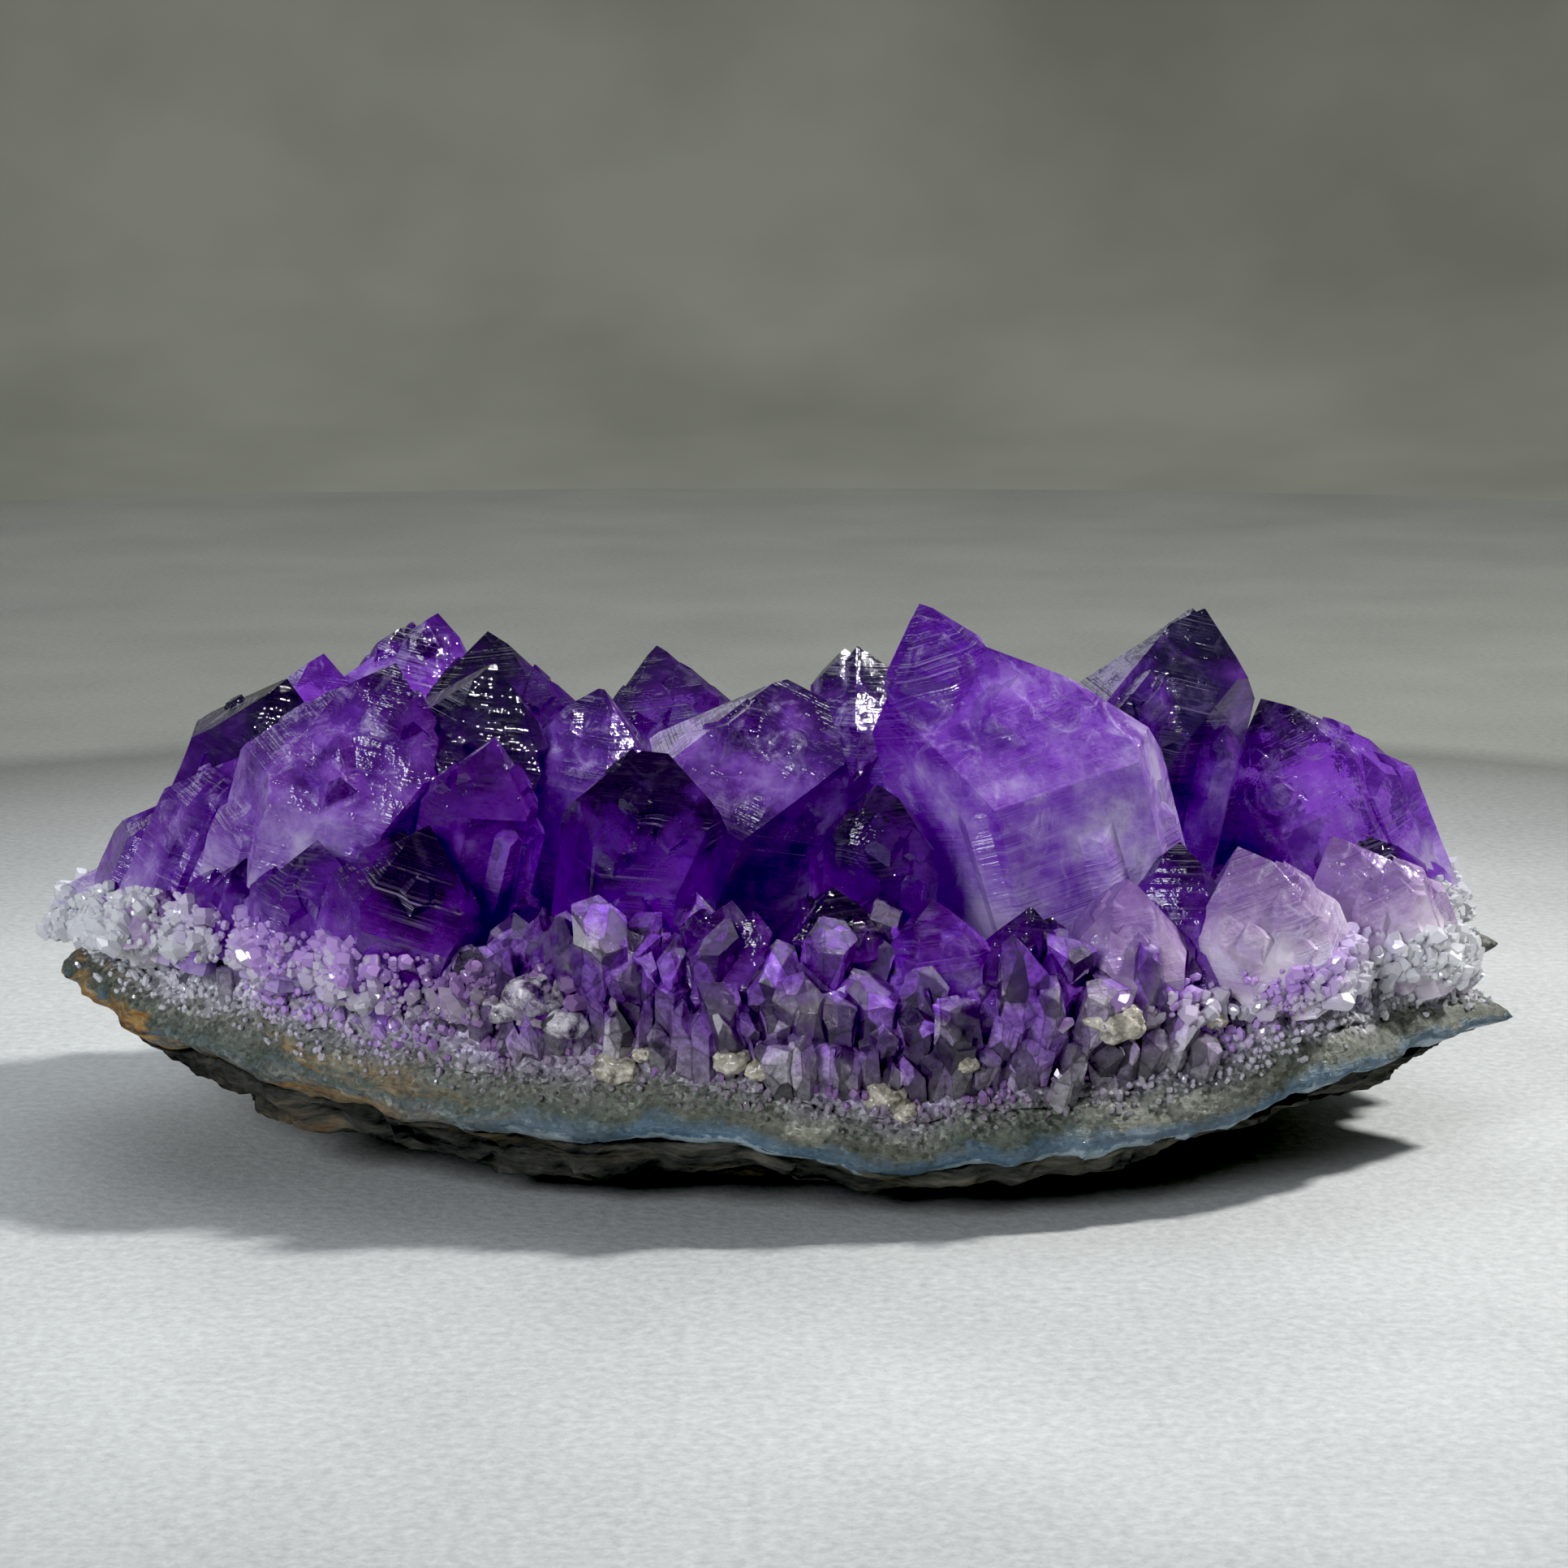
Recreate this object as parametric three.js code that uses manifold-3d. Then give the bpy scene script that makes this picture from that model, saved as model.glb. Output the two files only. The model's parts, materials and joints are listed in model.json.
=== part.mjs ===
// Amethyst cluster: a hand-sized piece of geode wall. A boat-shaped slab in three layers, dark host rock,
// agate and a bed of milky quartz, carries some fifty amethyst points. Millimetres, +Z up, +X to the
// right, -Y towards the viewer, origin under the middle of the cluster, on the surface that it rests on.
//
// Every point is a quartz crystal: six prism faces under six rhombohedral faces that meet in the tip.
// Where two points grew into each other, the wider one keeps its shape and the narrower one is cut back to
// it.
import * as THREE from "three";
import { mergeVertices } from "three/addons/utils/BufferGeometryUtils.js";
import Module from "manifold-3d";

const wasm = await Module();
wasm.setup();

// ---------------------------------------------------------------- driving dimensions, in millimetres
const HALF_LENGTH = 60; // the slab's half length along X
const HALF_DEPTH = 36; // and its half depth along Y
const GAP = 0.3; // between neighbouring pieces
const FACE_ANGLE = 51.8; // degrees between a quartz crystal's axis and the normal of a rhombohedral face
const MINOR_SETBACK = 0.14; // how much further out the three minor rhombohedral faces lie, in crystal radii
const UNEVEN = 0.09; // how far a crystal's faces stray from an even hexagon, in crystal radii
const LONGEST_POINT = 60; // a crystal before its root is cut off

// ---------------------------------------------------------------- the slab
const FOOT = 0.4; // share of the way from the middle to the rim that stands flat on the table
const HULL_POWER = 1.35; // how the underside climbs from that foot to the rim
const BOWL_POWER = 2; // how the layers climb from their height in the middle to their height at the rim
const RIM_STEPS = 42; // stations around the slab
// Rings around its middle, as shares of the outline.
const RINGS = [0.17, 0.34, 0.51, 0.68, 0.83, 0.93, 0.96, 1, 1.3];
const BUMP = 0.5; // height of the broken surface's bumps

// Each layer: height of its top in the middle, how far up the rim that top lies (0 at the rim's lip, 1 at
// its upper edge), and how far out it reaches as a share of the outline.
const LAYERS = {
  host_rock: { centre: 5.5, atRim: 0, reach: 0.96 },
  agate_layer: { centre: 9.5, atRim: 0.6, reach: 1 },
  quartz_bed: { centre: 14, atRim: 1, reach: 0.96 },
};

// The slab's outline: place in plan as shares of the half length and half depth, then the heights of the
// rim's underside, of its lip between host rock and agate, and of its upper edge. From the left end along
// the front.
const OUTLINE = [
  [-1.0, 0.02, 9.8, 11.8, 15.0],
  [-0.88, -0.36, 7.2, 10.2, 17.4],
  [-0.7, -0.6, 5.4, 8.8, 17.4],
  [-0.5, -0.78, 4.4, 7.4, 15.2],
  [-0.28, -0.89, 5.2, 6.8, 13.8],
  [-0.05, -0.97, 5.6, 6.6, 12.4],
  [0.2, -0.95, 3.4, 4.6, 10.8],
  [0.46, -0.86, 4.0, 5.2, 12.2],
  [0.68, -0.66, 7.0, 8.2, 15.2],
  [0.86, -0.44, 8.0, 9.4, 15.4],
  [0.985, -0.2, 8.0, 9.4, 13.2],
  [0.91, -0.02, 9.6, 11.2, 14.6],
  [1.0, 0.2, 10.8, 12.2, 15.0],
  [0.87, 0.5, 9.6, 11.6, 16.4],
  [0.7, 0.76, 6.2, 8.4, 15.2],
  [0.44, 0.93, 4.2, 6.2, 14.0],
  [0.14, 1.0, 3.8, 5.6, 13.2],
  [-0.16, 0.98, 4.6, 6.6, 14.0],
  [-0.44, 0.9, 5.4, 8.0, 15.2],
  [-0.68, 0.72, 6.6, 9.2, 16.4],
  [-0.88, 0.4, 8.8, 11.4, 17.0],
];

// ---------------------------------------------------------------- the points
// One row each: name, tip (x, y, z), lean of the axis to the right and towards the viewer in degrees,
// distance of the prism faces from the axis, turn of the first major face from the viewer in degrees, and
// taper in degrees. An uneven one adds: aside, how far its prism stands to the right of the tip; ridge,
// half the length of a chisel-like tip; and minor, its own setback of the minor faces. A pale one names
// its looks.
const POINTS = [
  // tall ones along the skyline
  ["giant_point", [11.3, -13, 42], -15, 5, 9.4, 15, 0, { aside: 4.6, minor: 0.36 }],
  ["tall_right_point", [34.8, 2, 41.9], 12, 7, 7.4, -15, 0, { aside: -3.4 }],
  ["right_shoulder_point", [40.4, 9, 33.4], -24, 2, 6.6, 5, 2, {}],
  ["centre_point", [1.6, -11, 36.3], 22, 8, 7.4, -22, 0, { aside: -2.4, ridge: 2.2 }],
  ["centre_back_point", [6.6, 12, 37.4], 2, -4, 5.8, 30, 0, {}],
  ["left_centre_point", [-23, -8, 38.4], 20, 6, 6.4, 28, 0, {}],
  ["frosted_point", [-14.9, -6, 36.3], 4, 4, 6, -30, 0, { aside: 2 }],
  ["left_back_point", [-24.6, 6, 39.2], -4, 0, 7.2, 10, 0, {}],
  ["tall_left_point", [-30, -12, 39.9], 16, 10, 7.6, -5, 0, { aside: -1.2 }],
  ["far_left_back_point", [-30, 19, 38.8], 15, -6, 6.4, 20, 0, {}],
  ["valley_back_point", [-10.9, 15, 36.6], -6, -2, 6.8, 8, 0, {}],
  ["left_ridge_point", [-38.5, 9, 37.4], 14, 0, 5.2, 15, 0, {}],
  ["left_dark_point", [-40.4, -1, 36.3], 24, 4, 5.2, 35, 0, {}],
  ["left_slope_point", [-43.6, -7, 31.2], 26, 6, 3.8, 10, 0, {}],
  ["left_violet_point", [-47.6, -3, 28], 24, 4, 4.4, -12, 0, {}],
  ["left_end_point", [-53.2, 1, 22.8], 22, 2, 3.8, 20, 0, {}],
  // the front row
  ["front_ridge_point", [-10.2, -22, 33], 8, 12, 5.6, 4, 0, { ridge: 2.2 }],
  ["front_narrow_point", [7.4, -21, 31.2], 2, 12, 3.8, 28, 0, {}],
  ["front_bright_point", [-26.4, -23, 28.4], 22, 14, 5.2, 6, 2, {}],
  ["front_glow_point", [-22.6, -18, 34.4], 12, 10, 4, 25, 0, {}],
  ["front_left_point", [-35.8, -20, 27.2], 10, 10, 3.8, 12, 3, {}],
  ["front_far_left_point", [-41.2, -15, 25.8], 18, 10, 4, 30, 2, {}],
  ["left_lump_point", [-48.9, -13, 21.6], 24, 14, 3.6, 5, 0, { looks: "pale_amethyst" }],
  ["pale_point", [34.8, -20, 26.6], -14, 12, 4.8, 12, 8, { looks: "pale_amethyst" }],
  ["front_dark_point", [30.6, -18, 26.6], 2, 10, 3.8, -10, 3, {}],
  ["front_lavender_point", [26, -24, 24.4], 2, 14, 4.2, 22, 3, { looks: "pale_amethyst" }],
  ["front_violet_point", [18.8, -26, 23.4], 4, 14, 4.6, -6, 2, {}],
  ["front_low_point", [11.2, -27, 24], -4, 14, 3.8, 14, 3, {}],
  ["front_slim_point", [3.8, -27, 24.6], 4, 12, 3.6, 30, 2, {}],
  ["front_centre_point", [-3.4, -28, 23.8], 6, 14, 4.2, -8, 2, {}],
  ["front_stub_point", [-15.4, -27, 21.6], 12, 14, 4.4, 16, 0, {}],
  ["right_pink_point", [43.6, -11, 25.4], -22, 8, 5, 8, 4, { looks: "pale_amethyst" }],
  ["right_bead_point", [48.2, -1, 23.8], -16, 2, 3.4, 22, 0, {}],
  ["right_end_point", [50.6, 8, 22.6], -14, 0, 3.8, 0, 2, {}],
];

// The far side repeats in rows, with each point's size and lean drawn from a fixed sequence.
const BACK_ROWS = [
  { y: 27, from: -40, to: 40, count: 8, height: 26, radius: 6.2 },
  { y: 19, from: 16, to: 32, count: 2, height: 34, radius: 6.2 },
  { y: 21, from: -20, to: 0, count: 2, height: 31, radius: 5.4 },
  { y: 3, from: -3, to: 22, count: 3, height: 32, radius: 5.6 },
];
const LEAN_PER_MM = 0.28; // degrees that a back point leans inwards for each millimetre from the middle

const rad = THREE.MathUtils.degToRad;

// A repeatable sequence of numbers from -1 to 1, so that the cluster is the same each time it is built.
function sequence(seed) {
  return () => 2 * THREE.MathUtils.seededRandom(7919 * seed++ + 17) - 1;
}

// ---------------------------------------------------------------- solids and meshes
function toSolid(geometry) {
  const bare = geometry.clone();
  bare.deleteAttribute("normal");
  bare.deleteAttribute("uv");
  const merged = mergeVertices(bare, 1e-4);
  return new wasm.Manifold(
    new wasm.Mesh({
      numProp: 3,
      vertProperties: new Float32Array(merged.getAttribute("position").array),
      triVerts: new Uint32Array(merged.index.array),
    }),
  );
}

function toGeometry(solid) {
  const mesh = solid.getMesh();
  const geometry = new THREE.BufferGeometry();
  geometry.setAttribute("position", new THREE.BufferAttribute(mesh.vertProperties, 3));
  geometry.setIndex(new THREE.BufferAttribute(mesh.triVerts, 1));
  return geometry.toNonIndexed();
}

const largestPiece = (solid) =>
  solid.decompose().reduce((best, piece) => (piece.volume() > best.volume() ? piece : best));

// ---------------------------------------------------------------- slab
const rimCurve = (height) =>
  new THREE.CatmullRomCurve3(
    OUTLINE.map((row) => new THREE.Vector3(row[0] * HALF_LENGTH, row[1] * HALF_DEPTH, row[height])),
    true,
    "catmullrom",
  );
const [keelCurve, lipCurve, edgeCurve] = [rimCurve(2), rimCurve(3), rimCurve(4)];

function rimStation(step) {
  const { x, y, z } = keelCurve.getPoint(step / RIM_STEPS);
  const lip = lipCurve.getPoint(step / RIM_STEPS).z;
  const edge = edgeCurve.getPoint(step / RIM_STEPS).z;
  return { x, y, keel: z, lip, edge };
}

// Low bumps of a broken stone surface.
const bumps = (x, y, phase) =>
  BUMP * (Math.sin(0.33 * x + phase) * Math.cos(0.29 * y - phase)
    + 0.6 * Math.sin(0.71 * x - 0.53 * y + 2 * phase));

function undersideHeight(share, rim) {
  const climb = Math.max(0, (share - FOOT) / (1 - FOOT));
  return rim.keel * climb ** HULL_POWER + climb * bumps(share * rim.x, share * rim.y, 0.4);
}

function layerTop({ centre, atRim }, share, rim) {
  const rimHeight = THREE.MathUtils.lerp(rim.lip, rim.edge, atRim);
  const bowl = THREE.MathUtils.lerp(centre, rimHeight, Math.min(share, 1) ** BOWL_POWER);
  return bowl + (1 - share ** 4) * bumps(share * rim.x, share * rim.y, centre);
}

// A closed body between two surfaces, each a height over (share of the way out, rim station). All bodies
// share the same rings, so that one layer's top and the next one's bottom stay parallel.
function layerSolid(reach, topHeight, bottomHeight) {
  const positions = [];
  const index = [];
  const rims = Array.from({ length: RIM_STEPS }, (_, step) => rimStation(step));
  const shares = RINGS.filter((share) => share <= reach);
  const surface = (height) => {
    const start = positions.length / 3;
    positions.push(0, 0, height(0, rims[0]));
    for (const share of shares) {
      for (const rim of rims) positions.push(share * rim.x, share * rim.y, height(share, rim));
    }
    return start;
  };
  const at = (start, r, step) => start + 1 + (r - 1) * RIM_STEPS + (step % RIM_STEPS);
  const top = surface(topHeight);
  const bottom = surface(bottomHeight);
  for (let step = 0; step < RIM_STEPS; step++) {
    index.push(top, at(top, 1, step), at(top, 1, step + 1));
    index.push(bottom, at(bottom, 1, step + 1), at(bottom, 1, step));
    for (let r = 1; r < shares.length; r++) {
      const [a, b] = [at(top, r, step), at(top, r + 1, step)];
      const [c, d] = [at(top, r + 1, step + 1), at(top, r, step + 1)];
      index.push(a, b, c, a, c, d);
      const [e, f, g, h] = [a, b, c, d].map((corner) => corner - top + bottom);
      index.push(e, g, f, e, h, g);
    }
    const [low, lowNext] = [at(bottom, shares.length, step), at(bottom, shares.length, step + 1)];
    const [high, highNext] = [at(top, shares.length, step), at(top, shares.length, step + 1)];
    index.push(low, lowNext, highNext, low, highNext, high);
  }
  const geometry = new THREE.BufferGeometry();
  geometry.setAttribute("position", new THREE.Float32BufferAttribute(positions, 3));
  geometry.setIndex(index);
  return toSolid(geometry);
}

const { host_rock: hostRock, agate_layer: agateLayer, quartz_bed: quartzBed } = LAYERS;
const above = (layer) => (share, rim) => layerTop(layer, share, rim) + GAP;
const topOf = (layer) => (share, rim) => layerTop(layer, share, rim);
const slab = {
  host_rock: layerSolid(hostRock.reach, topOf(hostRock), undersideHeight),
  agate_layer: layerSolid(agateLayer.reach, topOf(agateLayer), above(hostRock)),
  quartz_bed: layerSolid(quartzBed.reach, topOf(quartzBed), above(agateLayer)),
};

// What cuts the points' roots off: everything under the bed's top, and past the rim too.
const PAST_RIM = 1.3;
const ground = layerSolid(PAST_RIM, above(quartzBed), () => -LONGEST_POINT);

// ---------------------------------------------------------------- points
// The crystal in its own frame, tip at the origin and axis along +Z, with every face moved out by grow.
function quartzPoint({ radius, turn, taper, seed, aside = 0, ridge = 0, minor = MINOR_SETBACK }, grow = 0) {
  const random = sequence(seed);
  const blank = new THREE.BoxGeometry(6 * radius, 6 * radius, LONGEST_POINT);
  let solid = toSolid(blank.translate(0, 0, radius - LONGEST_POINT / 2));
  const cut = (azimuth, tilt, distance) => {
    const normal = new THREE.Vector3().setFromSphericalCoords(1, tilt, azimuth);
    solid = solid.trimByPlane([-normal.z, -normal.x, -normal.y], -(distance + grow));
  };
  for (let face = 0; face < 6; face++) {
    const azimuth = rad(turn + 60 * face - 90);
    const prism = radius * (1 + UNEVEN * random()) + aside * Math.cos(azimuth);
    cut(azimuth, Math.PI / 2 - rad(taper), prism * Math.cos(rad(taper)));
    const setback = radius * ((face % 2 === 0 ? 0 : minor) + UNEVEN * random());
    const ridgeSetback = ridge * Math.abs(Math.sin(rad(60 * face))) * Math.sin(rad(FACE_ANGLE));
    cut(azimuth, rad(FACE_ANGLE), setback + ridgeSetback);
  }
  return solid;
}

function pointPlace({ tip, right, front }) {
  const axis = new THREE.Vector3(Math.tan(rad(right)), -Math.tan(rad(front)), 1).normalize();
  const turned = new THREE.Quaternion().setFromUnitVectors(new THREE.Vector3(0, 0, 1), axis);
  return new THREE.Matrix4().compose(new THREE.Vector3(...tip), turned, new THREE.Vector3(1, 1, 1));
}

function backPoints() {
  const random = sequence(500);
  return BACK_ROWS.flatMap(({ y, from, to, count, height, radius }, row) =>
    Array.from({ length: count }, (_, i) => {
      const x = THREE.MathUtils.lerp(from, to, i / (count - 1)) + 1.2 * random();
      const depth = y - 0.006 * x * x * Math.sign(y - 10) + 1.5 * random();
      return {
        name: `back_point_${row + 1}_${i + 1}`,
        tip: [x, depth, height + 2.2 * random()],
        right: -LEAN_PER_MM * x + 6 * random(),
        front: LEAN_PER_MM * depth * 0.6 + 4 * random(),
        radius: radius * (1 + 0.14 * random()),
        turn: 30 * random(),
        taper: 1 + random(),
      };
    }),
  );
}

const points = [
  ...POINTS.map(([name, tip, right, front, radius, turn, taper, uneven]) => ({
    ...{ name, tip, right, front, radius, turn, taper },
    ...uneven,
  })),
  ...backPoints(),
].map((point, i) => ({ ...point, seed: 11 + 13 * i, place: pointPlace(point) }));

// Wider points first: each one is cut back to the bed and to the wider points that it grew against.
const grown = [];
for (const point of [...points].sort((a, b) => b.radius - a.radius)) {
  let solid = quartzPoint(point).transform(point.place.elements).subtract(ground);
  for (const wider of grown) solid = solid.subtract(wider);
  grown.push(quartzPoint(point, GAP).transform(point.place.elements));
  point.solid = largestPiece(solid);
}

// ---------------------------------------------------------------- materials and the finished group
const LOOKS = {
  host_rock: { color: 0x3b3a38, roughness: 0.9 },
  agate_layer: { color: 0x75817f, roughness: 0.45 },
  quartz_bed: { color: 0xaaa2b4, roughness: 0.4 },
  amethyst: { color: 0x4b1f86, roughness: 0.08 },
  pale_amethyst: { color: 0x9a86b8, roughness: 0.15 },
};
const material = (looks) => new THREE.MeshStandardMaterial({ ...LOOKS[looks], metalness: 0 });

const cluster = new THREE.Group();
for (const [name, solid] of Object.entries(slab)) {
  const mesh = new THREE.Mesh(toGeometry(solid), material(name));
  mesh.name = name;
  cluster.add(mesh);
}
for (const { name, place, solid, looks = "amethyst" } of points) {
  const mesh = new THREE.Mesh(toGeometry(solid.transform(place.clone().invert().elements)), material(looks));
  mesh.name = name;
  place.decompose(mesh.position, mesh.quaternion, mesh.scale);
  cluster.add(mesh);
}

// The frame's origin lies under the middle of the cluster's bounding box.
const extent = new THREE.Box3().setFromObject(cluster, true);
const middle = extent.getCenter(new THREE.Vector3());
cluster.position.set(-middle.x, -middle.y, -extent.min.z);

export default new THREE.Group().add(cluster);
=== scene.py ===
# %% [markdown]
# # An amethyst cluster
# A piece of geode wall: dark host rock below, then agate, then a bed of milky quartz, and on it some fifty
# violet quartz points. The solids are loaded first, and every visible piece is made in their place.

# %% Load the frame
import json
import math
import random

import bmesh
import bpy
import numpy as np
from mathutils import Matrix, Vector, noise
from mathutils.bvhtree import BVHTree

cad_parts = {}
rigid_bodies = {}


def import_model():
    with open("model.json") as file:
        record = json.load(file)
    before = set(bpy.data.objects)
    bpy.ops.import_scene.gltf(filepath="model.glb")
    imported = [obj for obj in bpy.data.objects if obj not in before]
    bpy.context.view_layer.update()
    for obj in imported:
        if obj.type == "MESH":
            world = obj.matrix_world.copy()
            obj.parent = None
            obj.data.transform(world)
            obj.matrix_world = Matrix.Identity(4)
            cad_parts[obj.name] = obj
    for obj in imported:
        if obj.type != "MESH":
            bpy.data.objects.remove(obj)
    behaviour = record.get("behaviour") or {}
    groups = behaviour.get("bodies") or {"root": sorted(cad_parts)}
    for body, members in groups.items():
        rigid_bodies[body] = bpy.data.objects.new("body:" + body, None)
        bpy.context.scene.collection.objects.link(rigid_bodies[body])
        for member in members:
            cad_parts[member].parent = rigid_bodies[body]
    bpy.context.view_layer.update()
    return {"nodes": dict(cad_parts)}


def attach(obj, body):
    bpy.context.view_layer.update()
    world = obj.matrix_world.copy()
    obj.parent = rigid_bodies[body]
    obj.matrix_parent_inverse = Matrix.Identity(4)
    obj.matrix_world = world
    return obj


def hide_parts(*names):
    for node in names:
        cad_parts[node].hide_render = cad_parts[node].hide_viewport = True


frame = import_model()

noise.seed_set(4)
MM = 0.001
SLAB = ("host_rock", "agate_layer", "quartz_bed")
POINTS = [name for name in sorted(frame["nodes"]) if name not in SLAB]

# %% [markdown]
# ## The camera and the room
# A long lens looks down on the cluster by ten degrees. The room is a pale floor that runs up into a round
# grey wall, open at the top. Polished faces show whatever stands in the room, so its wall matters as much as
# its lamps: upper faces mirror a bright sky, and sides a darker wall, as on a table by a window.

# %% Camera
TARGET = Vector((0.4, -0.5, 28)) * MM
DISTANCE = 304 * MM
ELEVATION = math.radians(10)

camera = bpy.data.objects.new("camera", bpy.data.cameras.new("camera"))
camera.data.lens, camera.data.sensor_width = 85, 36
camera.data.clip_start = 0.01
camera.location = TARGET + DISTANCE * Vector((0, -math.cos(ELEVATION), math.sin(ELEVATION)))
camera.rotation_euler = (math.pi / 2 - ELEVATION, 0, 0)
bpy.context.scene.collection.objects.link(camera)
bpy.context.scene.camera = camera

# %% [markdown]
# ## Short ways to write a material
# Every finish here is one Principled shader fed by a few noise and cell textures. They are worked out from a
# place on the piece, so they stay sharp close up and need no picture. Long node trees are hard to read in a
# script, so one helper adds and joins a node in a single line, and others stand for the groups used most.

# %% Helpers for materials
def new_material(name):
    """A material with a Principled shader; gives the material, its shader and a function that adds nodes."""
    mat = bpy.data.materials.new(name)
    mat.use_nodes = True
    tree = mat.node_tree
    shader = tree.nodes["Principled BSDF"]

    def node(kind, inputs=(), **settings):
        made = tree.nodes.new("ShaderNode" + kind)
        for key, value in settings.items():
            setattr(made, key, value)
        for socket, value in dict(inputs).items():
            if isinstance(value, bpy.types.NodeSocket):
                tree.links.new(value, made.inputs[socket])
            else:
                made.inputs[socket].default_value = value
        return made

    def link(source, socket):
        tree.links.new(source, shader.inputs[socket])

    return mat, shader, node, link


def ramp(node, source, stops, interpolation="LINEAR"):
    """A colour ramp over source, from (position, colour) stops."""
    made = node("ValToRGB", {"Fac": source})
    made.color_ramp.interpolation = interpolation
    while len(made.color_ramp.elements) < len(stops):
        made.color_ramp.elements.new(0.5)
    for element, (position, colour) in zip(made.color_ramp.elements, stops):
        element.position = position
        element.color = (*colour, 1) if len(colour) == 3 else colour
    return made.outputs["Color"]


def grey(value):
    return (value, value, value)


# %% Helpers for crystalline grain
def grain_normal(node, place, scale, strength):
    """A normal that tilts a little differently on every grain, as the tiny faces of a sugary crust do."""
    cells = node("TexVoronoi", {"Vector": place, "Scale": scale}).outputs["Color"]
    centred = node("VectorMath", {0: cells, 1: (0.5, 0.5, 0.5)}, operation="SUBTRACT").outputs[0]
    tilt = node("VectorMath", {0: centred, "Scale": strength}, operation="SCALE").outputs[0]
    normal = node("NewGeometry").outputs["Normal"]
    tilted = node("VectorMath", {0: normal, 1: tilt}, operation="ADD").outputs[0]
    return node("VectorMath", {0: tilted}, operation="NORMALIZE").outputs[0]


def mixed(node, share, first, second, blend="MIX"):
    """Two colours mixed by a share, or blended in another way."""
    return node("Mix", {0: share, 6: first, 7: second}, data_type="RGBA", blend_type=blend).outputs[2]


# %% Floor and wall
def stage_piece(name, bm, mat):
    mesh = bpy.data.meshes.new(name)
    bmesh.ops.recalc_face_normals(bm, faces=bm.faces)
    bm.to_mesh(mesh)
    bm.free()
    mesh.materials.append(mat)
    mesh.polygons.foreach_set("use_smooth", [True] * len(mesh.polygons))
    obj = bpy.data.objects.new(name, mesh)
    bpy.context.scene.collection.objects.link(obj)


def spun(profile, steps=96):
    """A sheet spun round the Z axis from (radius, height) pairs."""
    bm = bmesh.new()
    line = [bm.verts.new((x, 0, z)) for x, z in profile]
    for start, end in zip(line, line[1:]):
        bm.edges.new((start, end))
    bmesh.ops.spin(bm, geom=bm.verts[:] + bm.edges[:], axis=(0, 0, 1), cent=(0, 0, 0),
                   angle=2 * math.pi, steps=steps, use_merge=True)
    bmesh.ops.remove_doubles(bm, verts=bm.verts, dist=1e-5)
    return bm


floor_mat, shader, node, link = new_material("pale_floor")
place = node("TexCoord").outputs["Object"]
speckle = node("TexNoise", {"Vector": place, "Scale": 1100.0, "Detail": 4.0, "Roughness": 0.7}).outputs["Fac"]
mottle = node("TexNoise", {"Vector": place, "Scale": 28.0, "Detail": 3.0}).outputs["Fac"]
tone = node("Math", {0: mottle, 1: 0.5, 2: speckle}, operation="MULTIPLY_ADD").outputs[0]
plaster = ramp(node, tone, [(0.45, (0.33, 0.345, 0.345)), (1.0, (0.55, 0.575, 0.575))])
# Painted shade on the floor: it darkens away from the cluster to a dark band about 0.2 m out, and stays dim
# beyond it.
far = node("VectorMath", {0: place}, operation="LENGTH").outputs["Value"]
shade = ramp(node, node("MapRange", {0: far, 1: 0.08, 2: 0.23}).outputs[0],
             [(0.0, grey(1.0)), (0.4, grey(0.62)), (0.70, (0.33, 0.33, 0.31)), (0.78, (0.24, 0.24, 0.22)),
              (0.86, (0.40, 0.40, 0.36))])
link(mixed(node, 1.0, plaster, shade, "MULTIPLY"), "Base Color")
shader.inputs["Roughness"].default_value = 0.6
link(node("Bump", {"Height": speckle, "Strength": 0.35, "Distance": 0.0003}).outputs["Normal"], "Normal")
stage_piece("floor", spun([(0, 0), (0.45, 0), (0.55, 0)]), floor_mat)

wall_mat, shader, node, link = new_material("grey_wall")
place = node("TexCoord").outputs["Object"]
cloud = node("TexNoise", {"Vector": place, "Scale": 9.0, "Detail": 4.0}).outputs["Fac"]
link(ramp(node, cloud, [(0.35, (0.155, 0.16, 0.13)), (0.65, (0.215, 0.22, 0.185))]), "Base Color")
shader.inputs["Roughness"].default_value = 0.9
WALL_PROFILE = [(0.55, 0), (0.62, 0.012), (0.69, 0.05), (0.74, 0.12), (0.76, 0.22), (0.76, 0.45)]
stage_piece("wall", spun(WALL_PROFILE), wall_mat)


# %% Light
def area_light(name, place, size, watts, colour=(1, 1, 1)):
    lamp = bpy.data.lights.new(name, "AREA")
    lamp.shape, lamp.size, lamp.energy, lamp.color = "DISK", size, watts, colour
    obj = bpy.data.objects.new(name, lamp)
    obj.location = Vector(place)
    obj.rotation_euler = (TARGET - obj.location).to_track_quat("-Z", "Y").to_euler()
    bpy.context.scene.collection.objects.link(obj)


area_light("key", (0.38, 0.10, 0.44), 0.06, 4.3, (1, 0.98, 0.95))
area_light("sky_patch", (-0.10, 0.42, 0.55), 0.80, 2.0, (0.93, 0.96, 1))
area_light("fill", (-0.30, -0.46, 0.28), 0.26, 2.3, (0.94, 0.96, 1))

world = bpy.data.worlds.new("sky")
world.use_nodes = True
world.node_tree.nodes["Background"].inputs["Color"].default_value = (0.80, 0.84, 0.90, 1)
world.node_tree.nodes["Background"].inputs["Strength"].default_value = 0.20
scene = bpy.context.scene
scene.world = world
scene.view_settings.view_transform = "Standard"
scene.view_settings.use_curve_mapping = True
scene.view_settings.curve_mapping.black_level = grey(0.014)
scene.view_settings.curve_mapping.update()
scene.cycles.max_bounces = 20
scene.cycles.transmission_bounces = 16
scene.cycles.glossy_bounces = 8


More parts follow.
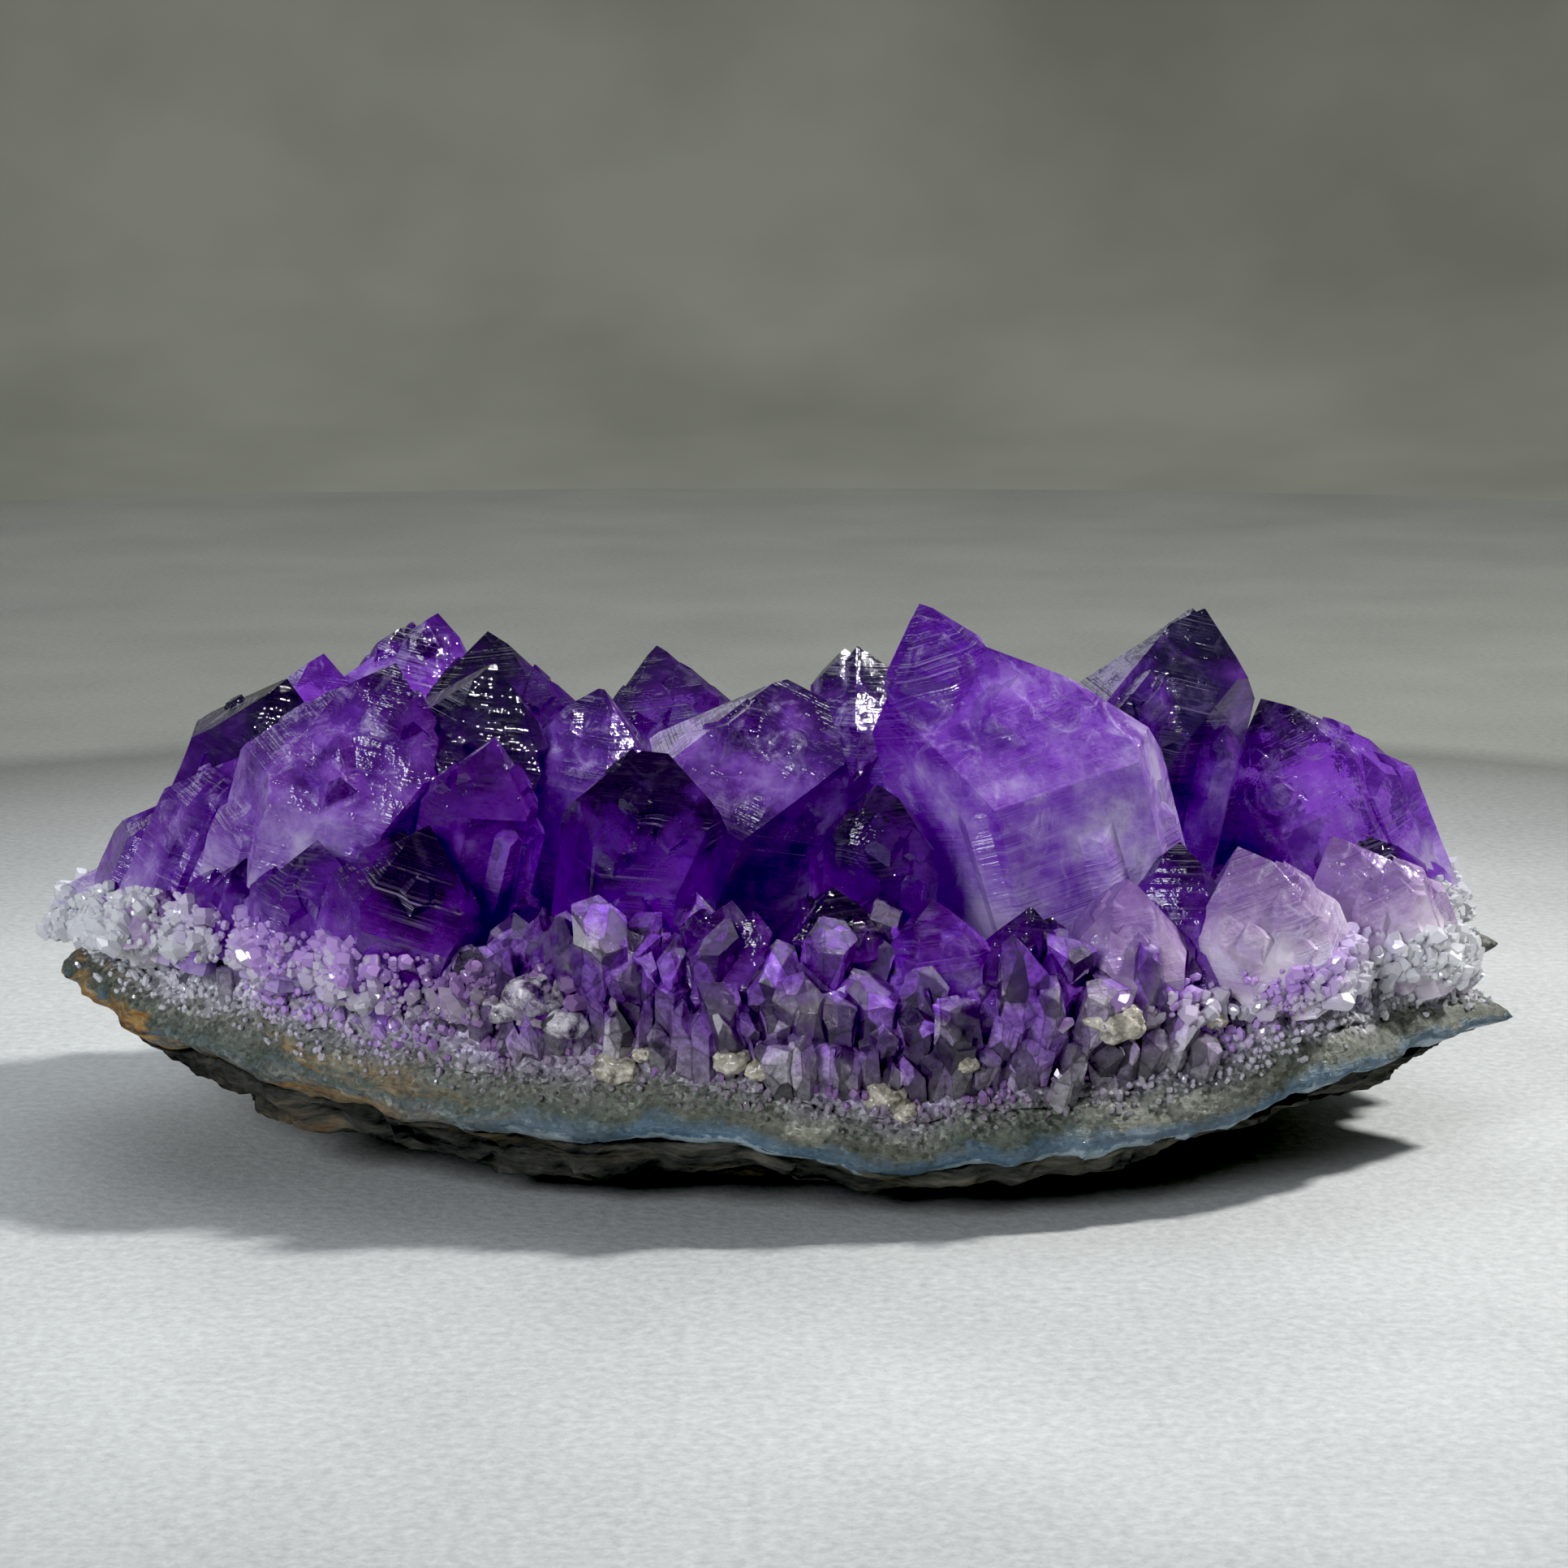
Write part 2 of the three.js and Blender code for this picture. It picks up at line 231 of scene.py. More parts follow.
# %% [markdown]
# ## Copies of the solids
# The solids have the right shape and place, in loose triangles. Modelling on loose triangles tears them
# apart, so a copy is merged, and its flat triangles are joined into whole faces. Later it is pushed out a
# little, so that neighbours that grew together touch. Quartz shows its growth in its faces: the six that
# close a point all lean away from its axis by one angle. So the axis is found from the faces of each solid.

# %% Copy, finish and place
def merged_copy(name):
    bm = bmesh.new()
    bm.from_mesh(bpy.data.objects[name].data)
    bmesh.ops.remove_doubles(bm, verts=bm.verts, dist=2e-6)
    bmesh.ops.dissolve_limit(bm, angle_limit=math.radians(0.4), verts=bm.verts, edges=bm.edges)
    return bm


def finished(bm, name, mat, replaced=(), smooth=False):
    """Turns a bmesh into a piece that rides on the root."""
    mesh = bpy.data.meshes.new(name)
    bm.to_mesh(mesh)
    bm.free()
    if smooth:
        mesh.polygons.foreach_set("use_smooth", [True] * len(mesh.polygons))
    mesh.materials.append(mat)
    obj = bpy.data.objects.new(name, mesh)
    bpy.context.scene.collection.objects.link(obj)
    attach(obj, "root")
    if replaced:
        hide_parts(*replaced)
    return obj


RHOMB_COSINE = math.cos(math.radians(51.8))  # between the axis and where a rhombohedral face looks


def growth_axis(bm):
    """The way a point grew: the one that its rhombohedral faces all lean away from by one angle."""
    normals = np.array([f.normal for f in bm.faces])
    areas = np.array([f.calc_area() for f in bm.faces])
    leans = np.tan(np.radians(np.arange(-44, 45)))
    right, front = np.meshgrid(leans, leans)
    axes = np.stack([right.ravel(), -front.ravel(), np.ones(right.size)], axis=1)
    axes /= np.linalg.norm(axes, axis=1, keepdims=True)
    cosines = axes @ normals.T
    score = (np.abs(cosines - RHOMB_COSINE) < 0.03) @ areas + 0.5 * ((np.abs(cosines) < 0.05) @ areas)
    return Vector(axes[np.argmax(score)])


def growth_turn(bm, axis, side, up):
    """How far a point's six faces are turned about its axis, from a sixfold mean of where its faces look."""
    total = 0j
    for face in bm.faces:
        if -0.1 < face.normal @ axis < 0.7:
            angle = math.atan2(face.normal @ up, face.normal @ side)
            total += face.calc_area() * complex(math.cos(6 * angle), math.sin(6 * angle))
    return math.atan2(total.imag, total.real) / 6


def growth_frame(bm):
    """A point's own frame: origin in its tip, Z along its axis, X where one of its faces looks."""
    axis = growth_axis(bm)
    side = Vector((1, 0, 0)).cross(axis).cross(axis).normalized()
    up = axis.cross(side)
    turn = growth_turn(bm, axis, side, up)
    x = math.cos(turn) * side + math.sin(turn) * up
    tip = max((v.co for v in bm.verts), key=lambda co: co @ axis)
    turned = Matrix((x, axis.cross(x), axis)).transposed().to_4x4()
    return Matrix.Translation(tip) @ turned


# %% [markdown]
# ## Quartz points
# A quartz point is a six-sided prism under six slanting faces. It seldom grows alone: smaller points grow
# along its sides in the same direction, and leave it stepped. Its sides are also ribbed across, where the
# prism and the slanting faces took turns. Bump alone would leave its outline too plain, so each solid is
# joined with a few companions in its own frame, and then cut across and ribbed.

# %% One quartz point
def slice_off(bm, place, direction):
    """Cuts a body with a plane, throws the outer side away and closes the cut."""
    cut = bmesh.ops.bisect_plane(bm, geom=bm.verts[:] + bm.edges[:] + bm.faces[:], plane_co=place,
                                 plane_no=direction, clear_outer=True)
    rim = [part for part in cut["geom_cut"] if isinstance(part, bmesh.types.BMEdge)]
    if rim:
        bmesh.ops.holes_fill(bm, edges=rim, sides=0)


def quartz_point(radius, height, rng, slim=0.0, uneven=0.16):
    """A point with its tip near the origin and its root height below; radius is to the prism's faces."""
    bm = bmesh.new()
    across = radius / math.cos(math.pi / 6)
    bmesh.ops.create_cone(bm, cap_ends=True, segments=6, radius1=across * (1 - slim), radius2=across,
                          depth=height + radius,
                          matrix=(Matrix.Translation((0, 0, (radius - height) / 2))
                                  @ Matrix.Rotation(math.pi / 6, 4, "Z")))
    for face in range(6):
        around = face * math.pi / 3
        tilt = math.acos(RHOMB_COSINE)
        direction = Vector((math.sin(tilt) * math.cos(around), math.sin(tilt) * math.sin(around),
                            math.cos(tilt)))
        back = radius * (0.12 * (face % 2) + uneven * rng.random())
        slice_off(bm, direction * back, direction)
    return bm


def linked(name, bm):
    mesh = bpy.data.meshes.new(name)
    bm.to_mesh(mesh)
    bm.free()
    obj = bpy.data.objects.new(name, mesh)
    bpy.context.scene.collection.objects.link(obj)
    return obj


def united(bm, others):
    """One skin round a body and the others that run into it."""
    body = linked("joining", bm)
    tools = [linked("joining", other) for other in others]
    for tool in tools:
        join = body.modifiers.new("join", "BOOLEAN")
        join.operation, join.solver, join.object = "UNION", "MANIFOLD", tool
    skin = bpy.data.meshes.new_from_object(body.evaluated_get(bpy.context.evaluated_depsgraph_get()))
    joined = bmesh.new()
    joined.from_mesh(skin)
    for obj in [body, *tools]:
        bpy.data.meshes.remove(obj.data)
    bpy.data.meshes.remove(skin)
    bmesh.ops.remove_doubles(joined, verts=joined.verts, dist=1e-6)
    bmesh.ops.dissolve_limit(joined, angle_limit=math.radians(0.4), verts=joined.verts, edges=joined.edges)
    return joined


# %% Companions and ribs
bed_copy = merged_copy("quartz_bed")
BED_TREE = BVHTree.FromBMesh(bed_copy)
bed_copy.free()
ROOT = 1.0 * MM  # how far a root reaches into the bed
SLIVER = 0.35 * MM  # a tip that stands out by less than this is lifted
SHORTEST = 1.5 * MM  # a point shorter than this isn't made


def companions(bm, frame_of, rng, count):
    """Smaller points in the same direction, around and on a point."""
    inverse = frame_of.inverted()
    local = [inverse @ v.co for v in bm.verts]
    reach = np.percentile([math.hypot(p.x, p.y) for p in local], 60)
    centre = sum((Vector((p.x, p.y, 0)) for p in local), Vector()) / len(local)
    parent = BVHTree.FromBMesh(bm)
    made = []
    for _ in range(count):
        around = rng.uniform(0, 2 * math.pi)
        out = reach * rng.uniform(0.3, 0.92)
        spot = centre * 0.8 + Vector((out * math.cos(around), out * math.sin(around), 0))
        drop = math.tan(math.acos(RHOMB_COSINE)) * max(
            spot.x * math.cos(face * math.pi / 3) + spot.y * math.sin(face * math.pi / 3)
            for face in range(6))
        raised = rng.uniform(0.07, 0.20) if out < 0.65 * reach else rng.uniform(-0.35, 0.12)
        spot.z = -drop + reach * raised
        if parent.find_nearest(frame_of @ spot)[3] < SLIVER:
            spot.z += 0.5 * MM
        width = reach * rng.uniform(0.14, 0.40)
        down = BED_TREE.ray_cast(frame_of @ spot, -frame_of.col[2].xyz)[3]
        if down is not None and down > SHORTEST:
            other = quartz_point(width, down + ROOT, rng, 0.15)
            bmesh.ops.transform(other, matrix=frame_of @ Matrix.Translation(spot), verts=other.verts)
            made.append(other)
    return made


def rib(bm, frame_of, rng, pitch, depth):
    """Cuts a prism's faces across at uneven steps and moves each ring a little in or out."""
    axis, tip = frame_of.col[2].xyz, frame_of.translation
    inverse = frame_of.inverted()
    low = min((inverse @ v.co).z for v in bm.verts)
    level = -2 * MM
    levels = []
    while level > low:
        levels.append(level)
        level -= pitch * rng.uniform(0.4, 1.6)
    for level in levels:
        sides = [f for f in bm.faces if abs(f.normal @ axis) < 0.25]
        if not sides:
            break
        geom = set(sides)
        for f in sides:
            geom.update(f.edges)
            geom.update(f.verts)
        cut = bmesh.ops.bisect_plane(bm, geom=list(geom), plane_co=tip + level * axis, plane_no=axis)
        ring = {v for part in cut["geom_cut"] if isinstance(part, bmesh.types.BMEdge) for v in part.verts}
        shift = depth * rng.uniform(-1, 1)
        for v in ring:
            p = inverse @ v.co
            out = Vector((p.x, p.y, 0))
            if out.length > 1e-6:
                wave = noise.noise(Vector((p.x, p.y, level)) / (2.5 * MM))
                v.co = frame_of @ (p + out.normalized() * shift * (0.6 + 0.8 * wave))


def push_out(bm, step):
    bm.normal_update()
    moves = [(v, v.normal * step * min(v.calc_shell_factor(), 2.5)) for v in bm.verts]
    for v, move in moves:
        v.co += move

# %% [markdown]
# ## Violet glass
# Amethyst is clear, and its violet was laid down in zones: milky or pale at the root, deep and sometimes
# smoky at the tip, with veils of tiny bubbles between. Colour inside a volume would be truest, but it is slow
# to render and noisy in small bodies. So the zones are painted on a skin that lets part of the light through,
# by how far along its point a place lies, with clouds to break them up. Fine ridges run round each point.

# %% Amethyst and pale quartz
QUARTZ_IOR = 1.544


def quartz_material(name, stops, clarity):
    """Violet glass, pale and milky at the root and deep at the tip, with clouds, fine growth lines in its
    bump and pale painted highlight lines.
    """
    mat, shader, node, link = new_material(name)
    place = node("TexCoord").outputs["Object"]
    along, rise, frost, shade, smoke = (node("Attribute", attribute_name=key).outputs["Fac"]
                                        for key in ("along", "rise", "frost", "shade", "smoke"))
    cloud = node("TexNoise", {"Vector": place, "Scale": 170.0, "Detail": 5.0,
                              "Roughness": 0.62}).outputs["Fac"]
    wisp = node("TexNoise", {"Vector": place, "Scale": 330.0, "Detail": 5.0, "Roughness": 0.72,
                             "Distortion": 1.2}).outputs["Fac"]
    depth = node("Math", {0: cloud, 1: 1.5, 2: -0.83}, operation="MULTIPLY_ADD").outputs[0]
    depth = node("Math", {0: depth, 1: along}, operation="ADD").outputs[0]
    depth = node("Math", {0: shade, 1: 0.25, 2: depth}, operation="MULTIPLY_ADD").outputs[0]
    depth = node("Math", {0: frost, 1: -0.3, 2: depth}, operation="MULTIPLY_ADD").outputs[0]
    tint = ramp(node, depth, stops)
    smoky = node("MapRange", {0: depth, 1: 0.25, 2: 0.75}).outputs[0]
    smoky = node("Math", {0: smoky, 1: smoke}, operation="MULTIPLY").outputs[0]
    tint = mixed(node, smoky, tint, (0.055, 0.055, 0.10, 1))
    veils_and_glints = node("MapRange", {0: wisp, 1: 0.52, 2: 0.74}).outputs[0]
    haze = node("Math", {0: frost, 1: 0.9, 2: 0.12}, operation="MULTIPLY_ADD").outputs[0]
    veils_and_glints = node("Math", {0: veils_and_glints, 1: haze}, operation="MULTIPLY", use_clamp=True).outputs[0]
    # Pale lines painted round some points along their rise, in cloudy patches: painted highlights for light
    # glinting on the growth ridges. They join the milky veils, so they whiten the colour and hold back
    # transmission.
    glint_lines = node("TexNoise", {"Vector": node("CombineXYZ", {0: rise, 1: shade}).outputs[0], "Scale": 3.2,
                                "Detail": 3.0, "Roughness": 0.8}).outputs["Fac"]
    glint_lines = node("MapRange", {0: glint_lines, 1: 0.54, 2: 0.66, 4: 0.55}).outputs[0]
    glint_patches = node("MapRange", {0: cloud, 1: 0.50, 2: 0.60}).outputs[0]
    glint_lines = node("Math", {0: glint_lines, 1: glint_patches}, operation="MULTIPLY").outputs[0]
    veils_and_glints = node("Math", {0: veils_and_glints, 1: glint_lines}, operation="MAXIMUM").outputs[0]
    milk = ramp(node, node("Math", {0: frost, 1: 0.5}, operation="MULTIPLY").outputs[0],
                [(0.5, (0.60, 0.51, 0.80)), (0.75, (0.72, 0.73, 0.78))])
    link(mixed(node, veils_and_glints, tint, milk), "Base Color")
    clear = node("MapRange", {0: depth, 1: 0.0, 2: 0.55, 3: 0.35 * clarity, 4: clarity}).outputs[0]
    hidden = node("Math", {0: veils_and_glints, 1: -0.5, 2: 1.0}, operation="MULTIPLY_ADD").outputs[0]
    link(node("Math", {0: clear, 1: hidden}, operation="MULTIPLY").outputs[0], "Transmission Weight")
    rough = node("Math", {0: veils_and_glints, 1: 0.35, 2: 0.04}, operation="MULTIPLY_ADD").outputs[0]
    link(node("Math", {0: frost, 1: 0.08, 2: rough}, operation="MULTIPLY_ADD").outputs[0], "Roughness")
    shader.inputs["IOR"].default_value = QUARTZ_IOR
    shader.inputs["Coat Weight"].default_value = 0.3
    shader.inputs["Coat Roughness"].default_value = 0.04
    apart = node("Math", {0: shade, 1: 50.0}, operation="MULTIPLY").outputs[0]
    rings = node("CombineXYZ", {0: rise, 1: apart}).outputs[0]
    lines = node("TexNoise", {"Vector": rings, "Scale": 1.7, "Detail": 3.0, "Roughness": 0.7}).outputs["Fac"]
    patch = node("MapRange", {0: cloud, 1: 0.42, 2: 0.6, 3: 0.15, 4: 1.0}).outputs[0]
    lines = node("Math", {0: lines, 1: patch}, operation="MULTIPLY").outputs[0]
    fine = node("TexNoise", {"Vector": place, "Scale": 1100.0, "Detail": 3.0}).outputs["Fac"]
    relief = node("Math", {0: fine, 1: 0.16, 2: lines}, operation="MULTIPLY_ADD").outputs[0]
    uneven = node("Math", {0: frost, 1: 0.22, 2: 0.10}, operation="MULTIPLY_ADD").outputs[0]
    mosaic = grain_normal(node, place, 420.0, uneven)
    bump = node("Bump", {"Height": relief, "Strength": 0.6, "Distance": 0.0005, "Normal": mosaic})
    link(bump.outputs["Normal"], "Normal")
    return mat


amethyst = quartz_material("amethyst", [
    (0.02, (0.60, 0.50, 0.80)),
    (0.22, (0.50, 0.29, 0.88)),
    (0.42, (0.42, 0.13, 0.92)),
    (0.66, (0.31, 0.055, 0.78)),
    (0.87, (0.14, 0.03, 0.36)),
    (0.98, (0.04, 0.02, 0.08)),
], 0.80)
pale_amethyst = quartz_material("pale_amethyst", [
    (0.0, (0.82, 0.74, 0.86)),
    (0.3, (0.72, 0.56, 0.84)),
    (0.62, (0.54, 0.32, 0.80)),
    (1.0, (0.28, 0.10, 0.50)),
], 0.62)

# %% How single points differ
PALE = ("left_lump_point", "pale_point", "front_lavender_point", "right_pink_point")
FROST = {  # how milky a point is, from 0 for clear glass to 1.7 for white
    "giant_point": 0.8, "frosted_point": 1.0, "front_lavender_point": 0.7, "left_lump_point": 1.3,
    "right_pink_point": 0.9, "right_end_point": 0.7, "pale_point": 1.2, "front_stub_point": 0.6,
    "front_low_point": 0.45, "front_centre_point": 0.4, "left_slope_point": 0.8, "left_end_point": 1.7,
    "tall_right_point": 0.25, "front_glow_point": 0.0, "front_ridge_point": 0.0,
    "front_violet_point": 0.1, "centre_point": 0.8, "right_shoulder_point": 0.7,
    "centre_back_point": 0.7, "tall_left_point": 0.9, "left_violet_point": 0.8, "left_ridge_point": 0.6,
    "front_left_point": 0.4, "front_far_left_point": 0.5}
SMOKE = {  # how grey a point is towards its tip, from 0 to 1
    "tall_right_point": 0.95, "centre_back_point": 0.9, "centre_point": 0.7, "frosted_point": 0.6,
    "left_centre_point": 0.7, "left_back_point": 0.5, "valley_back_point": 0.6, "left_dark_point": 0.6,
    "front_narrow_point": 0.4, "giant_point": 0.0, "right_shoulder_point": 0.1,
    "front_ridge_point": 0.0, "front_glow_point": 0.0}
RIBS = {  # pitch and depth in mm
    "left_centre_point": (0.7, 0.20), "front_left_point": (0.8, 0.15), "centre_point": (1.1, 0.10),
    "front_slim_point": (0.8, 0.13), "left_ridge_point": (1.2, 0.12), "tall_right_point": (1.6, 0.10)}

# %% Make the points
PUSH = 0.18 * MM
CRYSTALS = {}


def labelled(bm, **values):
    """Writes float attributes on the vertices, from one value or from a list."""
    for key, value in values.items():
        layer = bm.verts.layers.float.new(key)
        for index, v in enumerate(bm.verts):
            v[layer] = value[index] if isinstance(value, list) else value
    return bm


for index, name in enumerate(POINTS):
    rng = random.Random(100 + index)
    bm = merged_copy(name)
    frame_of = growth_frame(bm)
    push_out(bm, PUSH)
    size = bm.calc_volume() ** (1 / 3)
    bm = united(bm, companions(bm, frame_of, rng, 5 + round(size / (1.6 * MM))))
    pitch, depth = RIBS.get(name, (1.4, 0.06))
    rib(bm, frame_of, rng, pitch * MM, depth * MM)
    inverse = frame_of.inverted()
    heights = [(inverse @ v.co).z for v in bm.verts]
    low, high = min(heights), max(heights)
    labelled(bm, along=[(h - low) / (high - low) for h in heights], rise=[h / MM for h in heights],
             frost=FROST.get(name, 0.7 * rng.random() ** 2), shade=rng.random(),
             smoke=SMOKE.get(name, 0.35 * rng.random() ** 2))
    pale = name in PALE
    obj = finished(bm, name.replace("_point", "_crystal"),
                   pale_amethyst if pale else amethyst, (name,))
    bevel = obj.modifiers.new("worn_edges", "BEVEL")
    bevel.width, bevel.segments = 0.06 * MM, 1
    bevel.limit_method, bevel.angle_limit = "ANGLE", math.radians(22)
    CRYSTALS[name] = obj
print("made", len(CRYSTALS), "points with", sum(len(o.data.polygons) for o in CRYSTALS.values()), "faces")

# %% [markdown]
# ## The slab
# The slab broke off a geode's wall, so its edge is a section: rough dark rock, a lip of blue-grey agate,
# grey-green chalcedony stained with iron, and quartz that turns from sugary grey to lilac. It has no flat
# shelf anywhere. Each layer is remeshed into small even faces, drawn into one rounded profile with its
# neighbours, and moved by noise that depends on place alone, so that the layers still fit one another.
# Sculpting by hand would look as good, but it can't be written down and done again.

# %% The slab's outline
CENTRE = Vector((TARGET.x, TARGET.y, 0))


def rim_wall(name):
    """Angle, radius, lowest and highest height of a layer's outer wall, as arrays in order round the slab."""
    bm = bmesh.new()
    bm.from_mesh(bpy.data.objects[name].data)
    stations = {}
    for face in bm.faces:
        if abs(face.normal.z) < 0.3:
            for v in face.verts:
                spot = v.co - CENTRE
                key = round(math.atan2(spot.y, spot.x), 2)
                stations.setdefault(key, []).append((math.hypot(spot.x, spot.y), v.co.z))
    bm.free()
    rows = [(key, max(r for r, _ in pair), min(z for _, z in pair), max(z for _, z in pair))
            for key, pair in sorted(stations.items())]
    return np.array(rows).T


AGATE_WALL, BED_WALL = rim_wall("agate_layer"), rim_wall("quartz_bed")


def around(wall, column, angle):
    return float(np.interp(angle, wall[0], wall[column], period=2 * math.pi))


def clamp(value, low=0.0, high=1.0):
    return min(max(value, low), high)


def smoothstep(low, high, value):
    t = clamp((value - low) / (high - low))
    return t * t * (3 - 2 * t)


def slab_place(co):
    """A place's angle on the slab, its share of the way to the rim, and its level: 0 at the lip, 1 on top."""
    spot = co - CENTRE
    angle = math.atan2(spot.y, spot.x)
    lip, top = around(AGATE_WALL, 2, angle), around(BED_WALL, 3, angle)
    return angle, math.hypot(spot.x, spot.y) / around(AGATE_WALL, 1, angle), (co.z - lip) / (top - lip)


print("rim stations:", AGATE_WALL.shape[1], "lip from", round(AGATE_WALL[2].min() / MM, 1), "to",
      round(AGATE_WALL[2].max() / MM, 1), "mm high")


# %% Remesh and shape a layer
def remeshed(bm, voxel):
    """A bmesh of a body rebuilt from small even faces."""
    body = linked("remeshing", bm)
    remesh = body.modifiers.new("even", "REMESH")
    remesh.mode, remesh.voxel_size = "VOXEL", voxel
    mesh = bpy.data.meshes.new_from_object(body.evaluated_get(bpy.context.evaluated_depsgraph_get()))
    made = bmesh.new()
    made.from_mesh(mesh)
    bpy.data.meshes.remove(body.data)
    bpy.data.meshes.remove(mesh)
    return made


OUTER = {"host_rock": 0.96, "agate_layer": 1.0, "quartz_bed": 0.96}  # each layer's reach in its solid
SWELLS = ((11, 1.25), (3.6, 0.6))  # length and height in mm of the unevenness near the rim
PROFILE_LEVELS = [-1.0, -0.3, 0.0, 0.14, 0.45, 0.75, 1.0]
PROFILE_SHARES = [0.84, 0.93, 0.975, 1.0, 0.975, 0.93, 0.885]


def shaped(name, voxel):
    bm = merged_copy(name)
    bmesh.ops.triangulate(bm, faces=bm.faces)
    push_out(bm, 0.30 * MM)
    bm = remeshed(bm, voxel)
    tops = {key: bm.verts.layers.float.new(key) for key in ("level", "share")}
    for v in bm.verts:
        angle, share, level = slab_place(v.co)
        wanted = float(np.interp(level, PROFILE_LEVELS, PROFILE_SHARES)) / OUTER[name]
        pull = 1 + (wanted - 1) * smoothstep(0.72, 0.97, share / OUTER[name])
        spot = v.co - CENTRE
        co = CENTRE + Vector((spot.x * pull, spot.y * pull, spot.z))
        rough = smoothstep(0.5, 0.9, share)
        for length, height in SWELLS:
            co += rough * height * MM * noise.noise_vector(v.co / (length * MM))
        co += (0.12 + 0.1 * rough) * MM * noise.noise_vector(v.co / (1.2 * MM))
        if name == "host_rock":
            ledge = noise.noise(Vector((v.co.x / 12 / MM, v.co.y / 12 / MM, 4.5 * level)))
            crag = abs(noise.noise(v.co / (4.0 * MM))) + 0.6 * abs(noise.noise(v.co / (1.7 * MM)))
            out = Vector((spot.x, spot.y, -0.4 * abs(spot.x))).normalized()
            co += rough * MM * (1.9 * ledge - 1.5 * crag + 0.4) * out
            co.z = max(co.z, 0.0)
        v.co = co
        v[tops["level"]], v[tops["share"]] = level, share
    return bm
